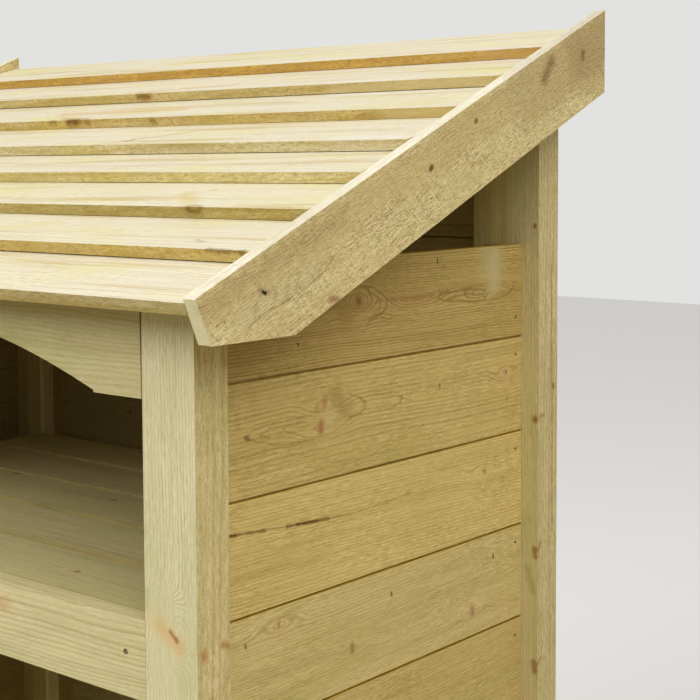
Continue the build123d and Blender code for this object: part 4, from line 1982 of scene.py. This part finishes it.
@dataclass
class Studio:
    """The plain pale floor, the soft lights and the camera."""

    floor_half: float = 9.0
    floor_seen: Colour = shade(236, 235, 232)
    floor_thrown: Colour = (0.27, 0.21, 0.09)
    floor_lift: float = 0.07
    floor_roughness: float = 0.9
    backdrop: Colour = shade(226, 226, 224)
    sky: Colour = (1, 0.99, 0.97)
    sky_level: float = 0.19
    sky_gain: float = 0.63
    lamps: tuple[Lamp, ...] = (
        Lamp("key", (-1.4, -3.9, 3.4), 2.5, 119.0),
        Lamp("fill", (3.2, -1.4, 3.6), 3.0, 74.0),
    )
    lamp_aim: Place = (0, 0, 0.7)
    camera_place: Place = (1290.8, -1075.0, 1036.7)
    camera_yaw: float = radians(39.676)
    camera_down: float = radians(3.822)
    camera_roll: float = radians(-0.269)
    lens: float = 75.84
    sensor_width: float = 36
    shift_up: float = -0.1214

    def build(self) -> None:
        """Builds the floor, the lights and the camera."""
        self._floor()
        self._world()
        for lamp in self.lamps:
            lamp.hang(Vector(self.lamp_aim))
        self._camera()
        bpy.context.scene.view_settings.view_transform = "Standard"

    def _floor(self) -> None:
        """Lays the floor, pale to look at and duller in the light that it throws back."""
        bm = bmesh.new()
        bmesh.ops.create_grid(bm, x_segments=1, y_segments=1, size=self.floor_half)
        mesh = bpy.data.meshes.new("floor")
        bm.to_mesh(mesh)
        bm.free()
        material, wire, shader = new_material("pale_floor")
        seen = seen_rays(wire)
        lift = wire.times(seen, self.floor_lift)
        colour = wire.mix(seen, self.floor_thrown, self.floor_seen)
        wire.feed(shader, {"Base Color": colour, "Roughness": self.floor_roughness})
        wire.feed(shader, {"Emission Color": (1, 1, 1), "Emission Strength": lift})
        mesh.materials.append(material)
        floor = bpy.data.objects.new("floor", mesh)
        bpy.context.scene.collection.objects.link(floor)

    def _world(self) -> None:
        """Lights everything softly, more from above, and shows a pale backdrop to the camera."""
        world = bpy.data.worlds.new("soft_sky")
        world.use_nodes = True
        bpy.context.scene.world = world
        world.node_tree.nodes.clear()
        wire = Wiring(world.node_tree)
        way = wire.add("SeparateXYZ", {0: wire.add("TexCoord").outputs["Generated"]})
        height = wire.math("MAXIMUM", way.outputs["Z"], 0.0)
        strength = wire.line(height, self.sky_gain, self.sky_level)
        sky = wire.add("Background", {"Color": self.sky, "Strength": strength}).outputs[0]
        backdrop = wire.add("Background", {"Color": self.backdrop}).outputs[0]
        mixed = wire.add("MixShader", {0: seen_rays(wire), 1: sky, 2: backdrop})
        wire.add("OutputWorld", {"Surface": mixed.outputs[0]})

    def _camera(self) -> None:
        """Sets the camera for the main view."""
        data = bpy.data.cameras.new("camera")
        data.lens = self.lens
        data.sensor_width = self.sensor_width
        data.shift_y = self.shift_up
        camera = bpy.data.objects.new("camera", data)
        tilt = Matrix.Rotation(pi / 2 - self.camera_down, 4, "X") @ Matrix.Rotation(self.camera_roll, 4, "Z")
        place = Matrix.Translation(Vector(self.camera_place) * MM)
        camera.matrix_world = place @ Matrix.Rotation(self.camera_yaw, 4, "Z") @ tilt
        bpy.context.scene.collection.objects.link(camera)
        bpy.context.scene.camera = camera


def main() -> None:
    """Builds the studio and every piece."""
    logging.basicConfig(level=logging.INFO, format="%(message)s")
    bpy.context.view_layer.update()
    Studio().build()
    shop = Workshop(Effects.build(), SteelFinish().material())
    decks = Deck("shelf", 200), Deck("floor", 230)
    for part in (Posts(), BoardedWalls(), InnerFraming(), Roof(), BargeBoards(), ArchedFascia(), *decks):
        part.build(shop)


if __name__ == "__main__":
    main()
